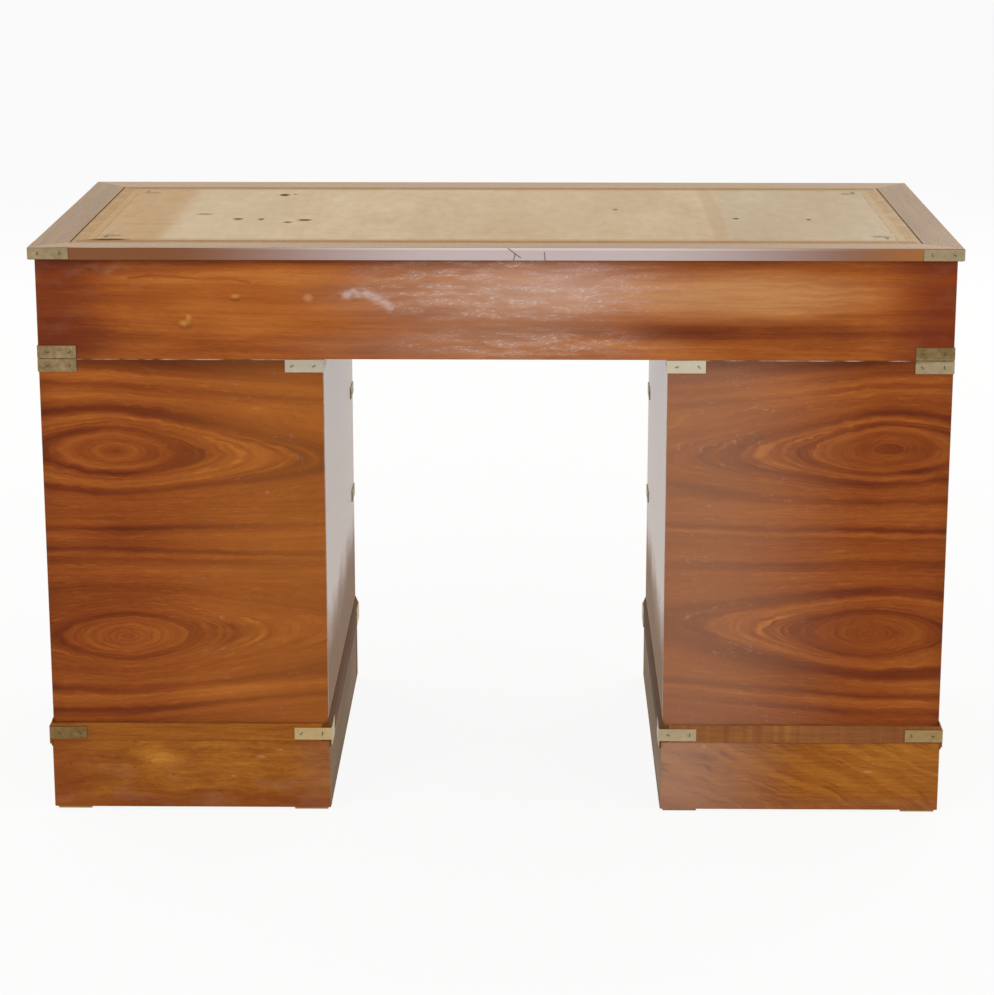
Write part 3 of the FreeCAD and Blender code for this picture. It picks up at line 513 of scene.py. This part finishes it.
def wavy_plinth(worn):
    """Ochre mahogany crossed by slanting dark waves, hazed pink at its inner end."""
    f = Finish("plinth_mahogany_left", worn)
    slant = f.z - f.x * 0.45 + (f.noise(f.x / 55, f.z / 36, 71.0, detail=2) - 0.5) * 34
    waves = f.noise(f.x / 190, slant / 17, 72.0, detail=2)
    lines = f.line(waves - 0.5, 0.06) * f.noise(f.x / 60, f.z / 30, 73.0).rise(0.4, 0.62)
    inner_end = f.x.rise(-430, -240)
    darkness = (waves - 0.5) * 0.7 + 0.42 + lines * (0.2 + inner_end * 0.28)
    surface, gloss, height = lay_grain(f, *round_plinth(f, f.z), 74, darkness, PLINTH_TONES)
    surface = f.tint(surface, (inner_end * 0.5, "b09080"), (f.z.rise(30, 8) * 0.3, "8a5540"))
    return dull_inside(f, pale_nicks(f, surface), gloss, height, plinth_reach, PLINTH_INSIDE_REFLECTION)


def moulding_wood(worn):
    """Orange on one side, and on the other brown with blocky changes of tone."""
    f = Finish("moulding_mahogany", worn)
    left = 1 - f.x.above(0.0)
    figure = f.noise(f.x / 90, (f.z + f.y) / 9, 71.0, detail=3) - 0.5
    blocks = f.noise(f.x / 14, 1.0, 75.0, detail=2) - 0.5
    darkness = figure * 0.6 + blocks * (left * 0.9 + 0.1) + 0.46
    surface, gloss, height = lay_grain(f, *round_plinth(f, f.z), 76, darkness, PLINTH_TONES)
    outer = f.x.rise(500, 590) + left * f.x.rise(-400, -560)
    surface = f.tint(surface, (left * 0.35, "7c5a44"), (outer * 0.35, "6e3212"))
    return dull_inside(f, surface, gloss, height, plinth_reach + MOULDING_SLOPE, MOULDING_INSIDE_SHADE)


border_low, border_high = [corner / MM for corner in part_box("top_border_boards")]
leather_low, leather_high = [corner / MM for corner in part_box("writing_leather")]
CRACKS = (((-16, 780), (-26, 772), (-24, 763)), ((-26, 772), (-33, 767)), ((-64, 774), (-65, 763)))
CRACK_WIDTH = 2.2


def top_border(worn):
    """Boards mitred at the corners, with a painted reflection on the middle of the edge along the back, which
    has cracked near its middle, a painted highlight along that edge's top, and pale arrises, rubbed and with
    a painted highlight.
    """
    f = Finish("border_mahogany", worn)
    past_end = (abs(f.x) - leather_high.x) / (border_high.x - leather_high.x)
    past_back = (f.y - leather_high.y) / (border_high.y - leather_high.y)
    past_front = (leather_low.y - f.y) / (leather_low.y - border_low.y)
    past_mitre = past_end - past_back.most(past_front)
    end_board = past_mitre.above(0.0)
    along = end_board.choose(f.x, f.y)
    across = end_board.choose(f.y + f.z, f.x + f.z)
    figure = (f.noise(along / 300, across / 12, 21.0, roughness=0.55).rise(0.2, 0.8) - 0.5) * 0.5 + 0.45
    surface, gloss, height = lay_grain(
        f, along, across, 23.0, figure, BORDER_TONES, roughness=0.3, streaky=0.25)
    mitre = f.line(past_mitre, 0.02) * past_end.above(0.0)
    back_edge = f.facing[1].rise(0.5, 0.9)
    # painted reflection, pale grey, on the middle of the back edge
    painted_reflection_patch = f.upright_patch((-60, 770), (500, 60), soft=0.8)
    upright = f.facing[2].rise(0.8, 0.4)
    surface = f.tint(
        surface, ((1 - end_board) * 0.55, "bc9a6c"), (end_board * 0.45, "8a7038"), (mitre * 0.6, GRIME),
        (upright * 0.85, "76432a"), (back_edge * painted_reflection_patch * 0.82, "cdc0c0"),
        (back_edge * f.x.rise(-430, -560) * 0.55, "b47640"),
        # painted highlight along the back edge's top
        (back_edge * painted_reflection_patch * f.z.rise(776.0, 778.0) * 0.5, "ece2de"))
    for places in CRACKS:
        surface = f.mix(f.strokes(f.x, f.z, places, CRACK_WIDTH) * back_edge * 0.75, surface, "3a2a26")
    # the eased arrises are pale: rubbed wear, and a painted highlight
    arris_wear_and_highlight = f.facing[1].rise(0.15, 0.4) * f.facing[2].rise(0.15, 0.4)
    rubbed = f.noise(f.x / 60, 1.0, 27.0, detail=3).rise(0.3, 0.55) * 0.6 + 0.2
    surface = f.mix(arris_wear_and_highlight * rubbed, surface, "dccdbf")
    return f.complete(surface, gloss, height * 0.3, Specular_IOR_Level=BORDER_SPECULAR)


# ---------------------------------------------------------------- leather

TOOLED_BAND = 11.0        # the middle of the gilt band, from the leather's edge
BAND_LINES = 7.0          # its two lines, from its middle
LOZENGE = 4.5             # half the length of a lozenge in it
INNER_LINE = 30.0         # the fine line inside it, from the leather's edge
ORNAMENT = (50.0, 58.0)   # middle of a corner's ornament, from the end and from the long edge
TONE_BANDS = (           # bands of other tones across the leather: middle and half width, softness, share and tone
    (360, 85, 0.5, 0.35, "c8b488"), (-302, 16, 0.6, 0.4, "a88250"), (-105, 250, 0.7, 0.22, "b4965e"))
TONE_BAND_LENGTH = 500        # half the length of those bands, which is more than the leather's
SCUFFS = (                # place, size and tone
    ((314, -166), (10, 15), "1c1204"), ((299, -172), (4, 5), "4c3a20"), ((266, 72), (13, 11), "33240e"),
    ((288, 92), (8, 8), "49361c"), ((359, 64), (9, 14), "7c6238"), ((327, 66), (6, 12), "745a34"),
    ((-165, -30), (5, 8), "64502e"), ((-330, 52), (5, 8), "3a2a14"), ((470, 110), (60, 3), "a88a58"),
    ((410, 20), (16, 10), "a88a5a"), ((-430, 60), (5, 8), "5a4426"), ((512, 243), (34, 9), "3c2a10"))
SCRATCHES = (             # places, width and tone
    (((345, 96), (318, 100), (290, 94), (268, 76)), 2.6, "7c6640"),
    (((-120, 40), (-150, 90), (-135, 130)), 2.0, "96784c"),
    (((80, -20), (150, 10)), 2.0, "9c8052"), (((-260, 120), (-300, 60)), 2.0, "96784c"),
    (((200, 160), (238, 150)), 2.2, "8c7048"))


def gilt_band(f, along, across):
    """A rolled band between two lines, filled with lozenges, on a stained ground."""
    ground = abs(across).rise(BAND_LINES + 3, BAND_LINES) * 0.8
    lines = f.line(abs(across) - BAND_LINES, 3.0)
    lozenge = (f.math("PINGPONG", along, LOZENGE) / LOZENGE + abs(across) / LOZENGE).rise(1.1, 0.85)
    return ground.most(lines).most(lozenge)


def leather(worn):
    """Old tan hide, rubbed and creased, with a gilt band, a fine line and a worn scroll in each corner."""
    f = Finish("tooled_leather", worn)
    from_end = leather_high.x - abs(f.x)
    from_side = (leather_high.y - f.y).least(f.y - leather_low.y)
    inset = from_end.least(from_side)
    mottle = f.noise(f.x / 60, f.y / 200, 3.0, detail=4, roughness=0.55)
    rubbing = f.noise(f.x / 16, f.y / 50, 6.0, detail=4)
    broad = f.noise(f.x / 170, f.y / 420, 5.0, detail=2)
    wear = broad * 0.4 + mottle * 0.32 + rubbing * 0.28
    hide = f.ramp(wear, [(0.3, "bd9c74"), (0.5, "cdb089"), (0.7, "dac4a2")])
    spread = f.x + (f.noise(f.y / 120, 1.0, 8.0) - 0.5) * 16
    hide = f.mix(spread.rise(428, 460) * 0.58, hide, "b07e28")
    for middle, half_width, soft, share, tone in TONE_BANDS:
        band = f.patch(spread, f.y, (middle, 0), (half_width, TONE_BAND_LENGTH), soft)
        hide = f.mix(band * share, hide, tone)
    creases = f.noise(f.x / 60, f.y / 5, 9.0, detail=4, roughness=0.6).rise(0.6, 0.7)
    worn_gilt = f.noise(f.x / 30, f.y / 30, 12.0, detail=4).rise(0.3, 0.55)
    long_band = gilt_band(f, f.x, from_side - TOOLED_BAND) * from_end.rise(4, 8)
    end_band = gilt_band(f, f.y, from_end - TOOLED_BAND) * from_side.rise(4, 8) * worn_gilt * 0.4
    tooled = long_band.most(end_band)
    radius = span(from_end - ORNAMENT[0], from_side - ORNAMENT[1])
    swell = (f.noise(from_end / 6, from_side / 6, 1.0) - 0.5) * 3
    scroll = f.line(radius - 9 + swell, 3.2).most(f.line(radius - 3.5, 3.0))
    leaf = f.patch(from_end, from_side, (ORNAMENT[0] - 2, ORNAMENT[1]), (20, 5)).most(
        f.patch(from_end, from_side, (ORNAMENT[0] - 8, ORNAMENT[1] - 10), (4.5, 16)))
    hide = f.tint(
        hide, (spread.rise(-308, -320) * 0.36, "a4946c"), (creases * 0.22, "98794c"),
        (inset.rise(INNER_LINE + 2, INNER_LINE - 4) * 0.5, "b88a44"),
        (tooled * (worn_gilt * 0.2 + 0.8), "926418"),
        (f.line(inset - INNER_LINE, 2.6) * (worn_gilt * 0.4 + 0.2), "86622c"),
        (scroll.most(leaf) * (worn_gilt * 0.45 + 0.35), "644612"))
    ragged = (f.noise(f.x / 4, f.y / 8, 15.0, detail=4) - 0.5) * 8
    seam = from_end.rise(3.2, 1.2).most(from_side.rise(2.0, 0.5) * 0.3)
    damage = seam
    for place, size, tone in SCUFFS:
        scuff = f.patch(f.x + ragged, f.y + ragged, place, size)
        damage = damage.most(scuff)
        hide = f.mix(scuff * 0.9, hide, tone)
    bend = (f.noise(f.x / 18, f.y / 18, 16.0, detail=2) - 0.5) * 14
    for places, width, tone in SCRATCHES:
        hide = f.mix(f.strokes(f.x + bend, f.y + bend, places, width) * 0.55, hide, tone)
    hide = f.mix(seam * 0.85, hide, "30200c")
    grain = f.noise(f.x / 1.6, f.y / 1.6, 18.0, detail=2)
    pressed = tooled.most(scroll) * 0.25 + f.line(inset - INNER_LINE, 2.4) * 0.15
    height = (grain - 0.5) * 0.12 - pressed - creases * 0.05
    gloss = 0.46 - rubbing * 0.12 + (grain - 0.5) * 0.2 + creases * 0.1 + damage * 0.5
    return f.complete(hide, gloss, height, Specular_IOR_Level=LEATHER_SPECULAR)


# ---------------------------------------------------------------- brass

BRASS_TINTS = (   # place and size on the x and z axes, a tone laid over that area of brass, and how far
    ((245, 616), (70, 30), "c9c1b0", 0.6), ((-245, 616), (70, 30), "d6cdb8", 0.7),
    ((-590, 612), (70, 18), "b09f80", 0.55), ((-590, 647), (70, 17), "6f5230", 0.5),
    ((590, 640), (70, 40), "94765a", 0.25), ((580, 112), (70, 24), "76552a", 0.6),
    ((245, 112), (60, 24), "cdb07c", 0.6), ((-245, 112), (60, 24), "c0ac8c", 0.6),
    ((-580, 112), (70, 24), "ab8c58", 0.5), ((-590, 771), (70, 20), "a8967c", 0.6),
    ((590, 771), (70, 20), "9c8a70", 0.4))
STRAP_TONES = ("5d4b30", "7d6b48", "9c8a66", "bcae8c")
HANDLE_TONES = ("68522c", "8e7442", "b0955a", "cdb580")
SCREW_TONES = ("4e3f26", "75623c", "94825a", "b5a67e")


def brass(name, tones, roughness=0.42, spread=7.0):
    """Old brass: pale where it is rubbed, dark where it has tarnished, with fine scratches along it."""
    def make(worn):
        f = Finish(name, worn)
        stain = f.noise(f.x / spread, f.y / spread, f.z / spread, detail=5, roughness=0.65)
        cloud = f.noise(f.x / 45, f.y / 45, f.z / 22, detail=2)
        scratch = f.noise((f.x + f.y) / 12, f.z / 0.5, 4.0, detail=2)
        value = stain * 0.5 + cloud * 0.4 + (scratch - 0.5) * 0.15 + 0.06
        colour = f.ramp(value, zip((0.34, 0.46, 0.6, 0.74), tones))
        for place, size, tone, amount in BRASS_TINTS:
            colour = f.mix(f.upright_patch(place, size, soft=0.2) * amount, colour, tone)
        specks = f.noise(f.x / 1.6, f.y / 1.6, f.z / 1.6, detail=3).rise(0.66, 0.74)
        colour = f.mix(specks * 0.5, colour, "4a3c22")
        gloss = roughness - (value - 0.5) * 0.5 + specks * 0.2
        height = (scratch - 0.5) * 0.02 + (stain - 0.5) * 0.03
        return f.complete(colour, gloss, height, Metallic=1.0)
    return make


def slot_grime():
    """The dirt in a screw's slot and round its head."""
    f = Finish("slot_grime")
    crust = f.noise(f.x / 0.8, f.y / 0.8, f.z / 0.8, detail=3)
    return f.complete(f.ramp(crust, [(0.35, "2c2214"), (0.65, "554630")]), 0.7 + (crust - 0.5) * 0.3)


# ---------------------------------------------------------------- finishes on the CAD nodes

WELD_DISTANCE = 0.01 * MM
EDGE_ANGLE = math.radians(50)    # edges sharper than this are eased


def dress(names, make, edge=0.8, segments=2):
    """Gives nodes their finish, eases their edges by a few tenths and gives those the worn finish."""
    plain = make(worn=False)
    rubbed = make(worn=True) if edge else None
    for name in names:
        piece = nodes[name]
        piece.data.materials[0] = plain
        if edge:
            piece.data.materials.append(rubbed)
            weld = piece.modifiers.new("Joined faces", "WELD")
            weld.merge_threshold = WELD_DISTANCE
            ease = piece.modifiers.new("Eased edges", "BEVEL")
            ease.width = edge * MM
            ease.segments = segments
            ease.limit_method = "ANGLE"
            ease.angle_limit = EDGE_ANGLE
            ease.use_clamp_overlap = True
            ease.material = 1


drawers = [side + "_" + row for side in ("right", "left") for row in ("frieze", "top", "middle", "bottom")]
drawers.append("centre_frieze")
bails = [name for name in nodes if name.endswith("_bail")]

dress(["right_pedestal_back_panel"], figured_right)
dress(["left_pedestal_back_panel"], figured_left)
dress(["case_back_panel"], case_back)
dress(["right_pedestal_sides", "left_pedestal_sides"], pedestal_side)
dress(["case_end_boards", "case_dividers"], straight_wood("end_mahogany", "y", CARCASS_TONES, 57))
dress(["right_pedestal_frame", "left_pedestal_frame", "case_frame"],
      straight_wood("rail_mahogany", "x", CARCASS_TONES, 61, band=14))
dress(["right_plinth"], plain_plinth)
dress(["left_plinth"], wavy_plinth)
dress(["plinth_mouldings"], moulding_wood, edge=0.6)
dress(["top_border_boards"], top_border, edge=1.6, segments=3)
dress(["writing_leather"], leather, edge=0)
dress(["top_core_board"], straight_wood("core_wood", "x", LINING_TONES, 73), edge=0)
dress([name + "_front" for name in drawers], straight_wood("front_mahogany", "x", FRONT_TONES, 79, band=18))
dress([name + "_box" for name in drawers],
      straight_wood("lining_wood", "y", LINING_TONES, 83, roughness=0.55), edge=0.6)
dress(["feet"], straight_wood("glide_wood", "x", GLIDE_TONES, 89, roughness=0.6))
dress(["locating_dowels"], straight_wood("beech", "z", BEECH_TONES, 97, roughness=0.5), edge=0)
dress(["top_corner_straps", "case_corner_straps", "stand_corner_straps"],
      brass("strap_brass", STRAP_TONES), edge=0)
dress([name + "_handle_plate" for name in drawers], brass("handle_brass", HANDLE_TONES, 0.32), edge=0)
dress(bails, brass("bail_brass", HANDLE_TONES, 0.28), edge=0)


# ---------------------------------------------------------------- slotted screws

SCREW_PROUD = 0.4 * MM
SLOT_WIDTH = 0.22                # share of a head's diameter
SLOT_DEPTH = 0.35 * MM
HEAD_SIDES = 24
HEAD_PROFILE = ((1.0, 0.0), (0.93, 0.55), (0.65, 0.88))   # share of the radius, share of the proud height
HEAD_SHARP = math.radians(35)    # edges sharper than this aren't shaded smooth
TOP_FACE = 0.2                   # the faces of a head's top point upwards by more than this
SAME_PLACE = 0.005 * MM          # vertices nearer than this are one

screw_brass = brass("screw_brass", SCREW_TONES, 0.4, spread=2.0)(worn=False)
grime = slot_grime()


def head_mesh(radius, proud, depth):
    """One screw head on the z axis, its rim at z 0: a low dome with a slot along x."""
    mesh = bmesh.new()
    turns = [2 * math.pi * index / HEAD_SIDES for index in range(HEAD_SIDES)]
    profile = [(1.0, -depth)] + [(share, level * proud) for share, level in HEAD_PROFILE]
    rings = [[mesh.verts.new((share * radius * math.cos(turn), share * radius * math.sin(turn), height))
              for turn in turns] for share, height in profile]
    crown = mesh.verts.new((0, 0, proud))
    for lower, upper in zip(rings, rings[1:]):
        for index in range(HEAD_SIDES):
            following = (index + 1) % HEAD_SIDES
            mesh.faces.new((lower[index], lower[following], upper[following], upper[index]))
    for index in range(HEAD_SIDES):
        mesh.faces.new((rings[-1][index], rings[-1][(index + 1) % HEAD_SIDES], crown))
    mesh.faces.new(rings[0][::-1])
    half_slot = SLOT_WIDTH * radius
    for side in (-1, 1):
        everything = mesh.verts[:] + mesh.edges[:] + mesh.faces[:]
        bmesh.ops.bisect_plane(mesh, geom=everything, plane_co=(0, side * half_slot, 0), plane_no=(0, 1, 0))
    slot = [face for face in mesh.faces
            if face.normal.z > TOP_FACE and abs(face.calc_center_median().y) < half_slot]
    floor = bmesh.ops.extrude_face_region(mesh, geom=slot)["geom"]
    for vertex in [part for part in floor if isinstance(part, bmesh.types.BMVert)]:
        vertex.co.z = proud - SLOT_DEPTH
    bmesh.ops.delete(mesh, geom=slot, context="FACES")
    for face in mesh.faces:   # the slot's floor and walls take the grime
        middle = face.calc_center_median()
        face.material_index = int(abs(middle.y) < half_slot * 1.01 and middle.z > -0.5 * depth)
    head = bpy.data.meshes.new("screw_head")
    mesh.to_mesh(head)
    mesh.free()
    return head


def solid_boxes(name):
    """The low and high corners of each separate solid in a node."""
    mesh = bmesh.new()
    mesh.from_mesh(nodes[name].data)
    bmesh.ops.remove_doubles(mesh, verts=mesh.verts, dist=SAME_PLACE)
    boxes = []
    for start in mesh.verts:
        if start.tag:
            continue
        start.tag = True
        found = [start]
        for vertex in found:
            for edge in vertex.link_edges:
                other = edge.other_vert(vertex)
                if not other.tag:
                    other.tag = True
                    found.append(other)
        spans = list(zip(*[vertex.co for vertex in found]))
        boxes.append((Vector([min(values) for values in spans]), Vector([max(values) for values in spans])))
    mesh.free()
    return boxes


def facing_out(low, high):
    """The axis across a screw's head and the way it faces: out of the desk, or into the kneehole."""
    sizes = high - low
    axis = min(range(3), key=lambda index: sizes[index])
    middle = (low + high) / 2
    way = math.copysign(1, middle[axis])
    beside_kneehole = axis == 0 and abs(middle.x) < (panel_low.x + panel_high.x) / 2 * MM
    return axis, -way if beside_kneehole else way


def screws(name, body, heads, places, chance):
    """One piece of many screw heads, each at its rim's middle, facing its own way and turned by chance."""
    mesh = bmesh.new()
    for rim, out in places:
        before = len(mesh.verts)
        mesh.from_mesh(heads)
        mesh.verts.ensure_lookup_table()
        turn = Matrix.Rotation(chance.uniform(0, math.pi), 4, "Z")
        place = Matrix.Translation(rim) @ out.to_track_quat("Z", "Y").to_matrix().to_4x4() @ turn
        bmesh.ops.transform(mesh, matrix=place, verts=mesh.verts[before:])
    data = bpy.data.meshes.new(name)
    mesh.to_mesh(data)
    mesh.free()
    data.materials.append(screw_brass)
    data.materials.append(grime)
    data.shade_smooth()
    data.set_sharp_from_angle(angle=HEAD_SHARP)
    piece = bpy.data.objects.new(name, data)
    bpy.context.scene.collection.objects.link(piece)
    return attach(piece, body)


def strap_screws(name, body):
    """Slotted heads in place of a body's plain screws."""
    boxes = solid_boxes(name)
    places = []
    for low, high in boxes:
        axis, way = facing_out(low, high)
        out = Vector([way if index == axis else 0.0 for index in range(3)])
        rim = (low + high) / 2
        rim[axis] = (high[axis] if way > 0 else low[axis]) - way * SCREW_PROUD
        places.append((rim, out))
    sizes = sorted(boxes[0][1] - boxes[0][0])
    heads = head_mesh(sizes[2] / 2, SCREW_PROUD, sizes[0] - SCREW_PROUD)
    piece = screws(name + "_slotted", body, heads, places, random.Random(name))
    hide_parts(name)


strap_screws("case_strap_screws", "case")
strap_screws("stand_strap_screws", "stand")

PLATE_LENGTH = 92 * MM
PLATE_SCREW_INSET = (4.0 * MM, 9.0 * MM)    # from a plate's ends, and from its upper and lower edges
PLATE_SCREW_RADIUS = 2.05 * MM
PLATE_SCREW_PROUD = SCREW_PROUD * 1.1
PLATE_SCREW_DEPTH = 0.2 * MM
plate_heads = head_mesh(PLATE_SCREW_RADIUS, PLATE_SCREW_PROUD, PLATE_SCREW_DEPTH)


def plate_screws(drawer):
    """Four small screws on each of a drawer's handle plates, their rims level with its front."""
    low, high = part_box(drawer + "_handle_plate")
    face_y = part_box(drawer + "_front")[0].y
    half_length = PLATE_LENGTH / 2
    middles = sorted({round(middle / MM, 2) for middle in (low.x + half_length, high.x - half_length)})
    height = (low.z + high.z) / 2
    across = half_length - PLATE_SCREW_INSET[0]
    up = (high.z - low.z) / 2 - PLATE_SCREW_INSET[1]
    places = [
        (Vector((middle * MM + side * across, face_y, height + row * up)), Vector((0, -1, 0)))
        for middle in middles for side in (-1, 1) for row in (-1, 1)]
    screws(drawer + "_plate_screws", drawer + "_drawer", plate_heads, places, random.Random(drawer))


for drawer in drawers:
    plate_screws(drawer)


# ---------------------------------------------------------------- studio

CAMERA_PLACE = (-0.0494, 3.8908, 1.3702)
CAMERA_FORWARD = (0.01267, -0.96824, -0.24969)
CAMERA_FRAME = 36          # millimetres, the long side
CAMERA_LENS = 100.9
FLOOR_HALF = 40.0
FLOOR_COLOUR = "f4f2ee"
FLOOR_SHOWN_WHITE = 0.9    # how far the floor goes to plain white where the camera sees it
BACKGROUND_COLOUR = "ffffff"
AMBIENT = 0.55
LAMP_AIM = Vector((0, 0, 0.4))
LAMPS = (                  # place, size and power of each soft box
    ((2.6, 3.6, 2.6), 2.6, 62),
    ((-3.0, 3.2, 2.2), 2.6, 44),
    ((-2.4, -3.6, 2.6), 2.6, 62),
    ((2.8, -3.0, 2.2), 2.6, 44),
)


def set_up(name, data, place, forward):
    """Adds a camera or a lamp to the scene, at a place and looking forward."""
    thing = bpy.data.objects.new(name, data)
    thing.location = place
    thing.rotation_mode = "QUATERNION"
    thing.rotation_quaternion = forward.to_track_quat("-Z", "Y")
    bpy.context.scene.collection.objects.link(thing)
    return thing


def make_camera():
    data = bpy.data.cameras.new("camera")
    data.sensor_width = CAMERA_FRAME
    data.lens = CAMERA_LENS
    bpy.context.scene.camera = set_up("camera", data, CAMERA_PLACE, Vector(CAMERA_FORWARD))


def shown_ray(tree):
    """1 for rays that show a background: the camera's, and those that a glossy or clear surface sends."""
    path = tree.nodes.new("ShaderNodeLightPath")
    total = path.outputs["Is Camera Ray"]
    for name in ("Is Glossy Ray", "Is Transmission Ray"):
        most = tree.nodes.new("ShaderNodeMath")
        most.operation = "MAXIMUM"
        tree.links.new(total, most.inputs[0])
        tree.links.new(path.outputs[name], most.inputs[1])
        total = most.outputs[0]
    return total


def show_mixed(tree, share, first, second, surface):
    """Joins a mix of two shaders to an output's surface: the second by a share, and else the first."""
    mix = tree.nodes.new("ShaderNodeMixShader")
    for output, socket in zip((share, first.outputs[0], second.outputs[0]), mix.inputs):
        tree.links.new(output, socket)
    tree.links.new(mix.outputs[0], surface)


def make_world():
    world = bpy.data.worlds.new("studio")
    world.use_nodes = True
    tree = world.node_tree
    plain = tree.nodes["Background"]
    plain.inputs["Strength"].default_value = AMBIENT
    shown = tree.nodes.new("ShaderNodeBackground")
    for background in (plain, shown):
        background.inputs["Color"].default_value = linear(BACKGROUND_COLOUR)
    show_mixed(tree, shown_ray(tree), plain, shown, tree.nodes["World Output"].inputs["Surface"])
    bpy.context.scene.world = world


def make_floor():
    material = bpy.data.materials.new("floor")
    material.use_nodes = True
    tree = material.node_tree
    tree.nodes.remove(tree.nodes["Principled BSDF"])
    lit = tree.nodes.new("ShaderNodeBsdfDiffuse")
    lit.inputs["Color"].default_value = linear(FLOOR_COLOUR)
    white = tree.nodes.new("ShaderNodeEmission")
    share = tree.nodes.new("ShaderNodeMath")
    share.operation = "MULTIPLY"
    share.inputs[1].default_value = FLOOR_SHOWN_WHITE
    tree.links.new(shown_ray(tree), share.inputs[0])
    show_mixed(tree, share.outputs[0], lit, white, tree.nodes["Material Output"].inputs["Surface"])
    mesh = bpy.data.meshes.new("floor")
    corners = [(x * FLOOR_HALF, y * FLOOR_HALF, 0) for x, y in ((-1, -1), (1, -1), (1, 1), (-1, 1))]
    mesh.from_pydata(corners, [], [(0, 1, 2, 3)])
    mesh.materials.append(material)
    floor = bpy.data.objects.new("floor", mesh)
    bpy.context.scene.collection.objects.link(floor)


def make_lamps():
    for index, (place, size, power) in enumerate(LAMPS):
        data = bpy.data.lights.new("soft_box_%d" % index, "AREA")
        data.size = size
        data.energy = power
        set_up(data.name, data, place, LAMP_AIM - Vector(place))


make_camera()
make_world()
make_floor()
make_lamps()
bpy.context.scene.view_settings.view_transform = "Standard"
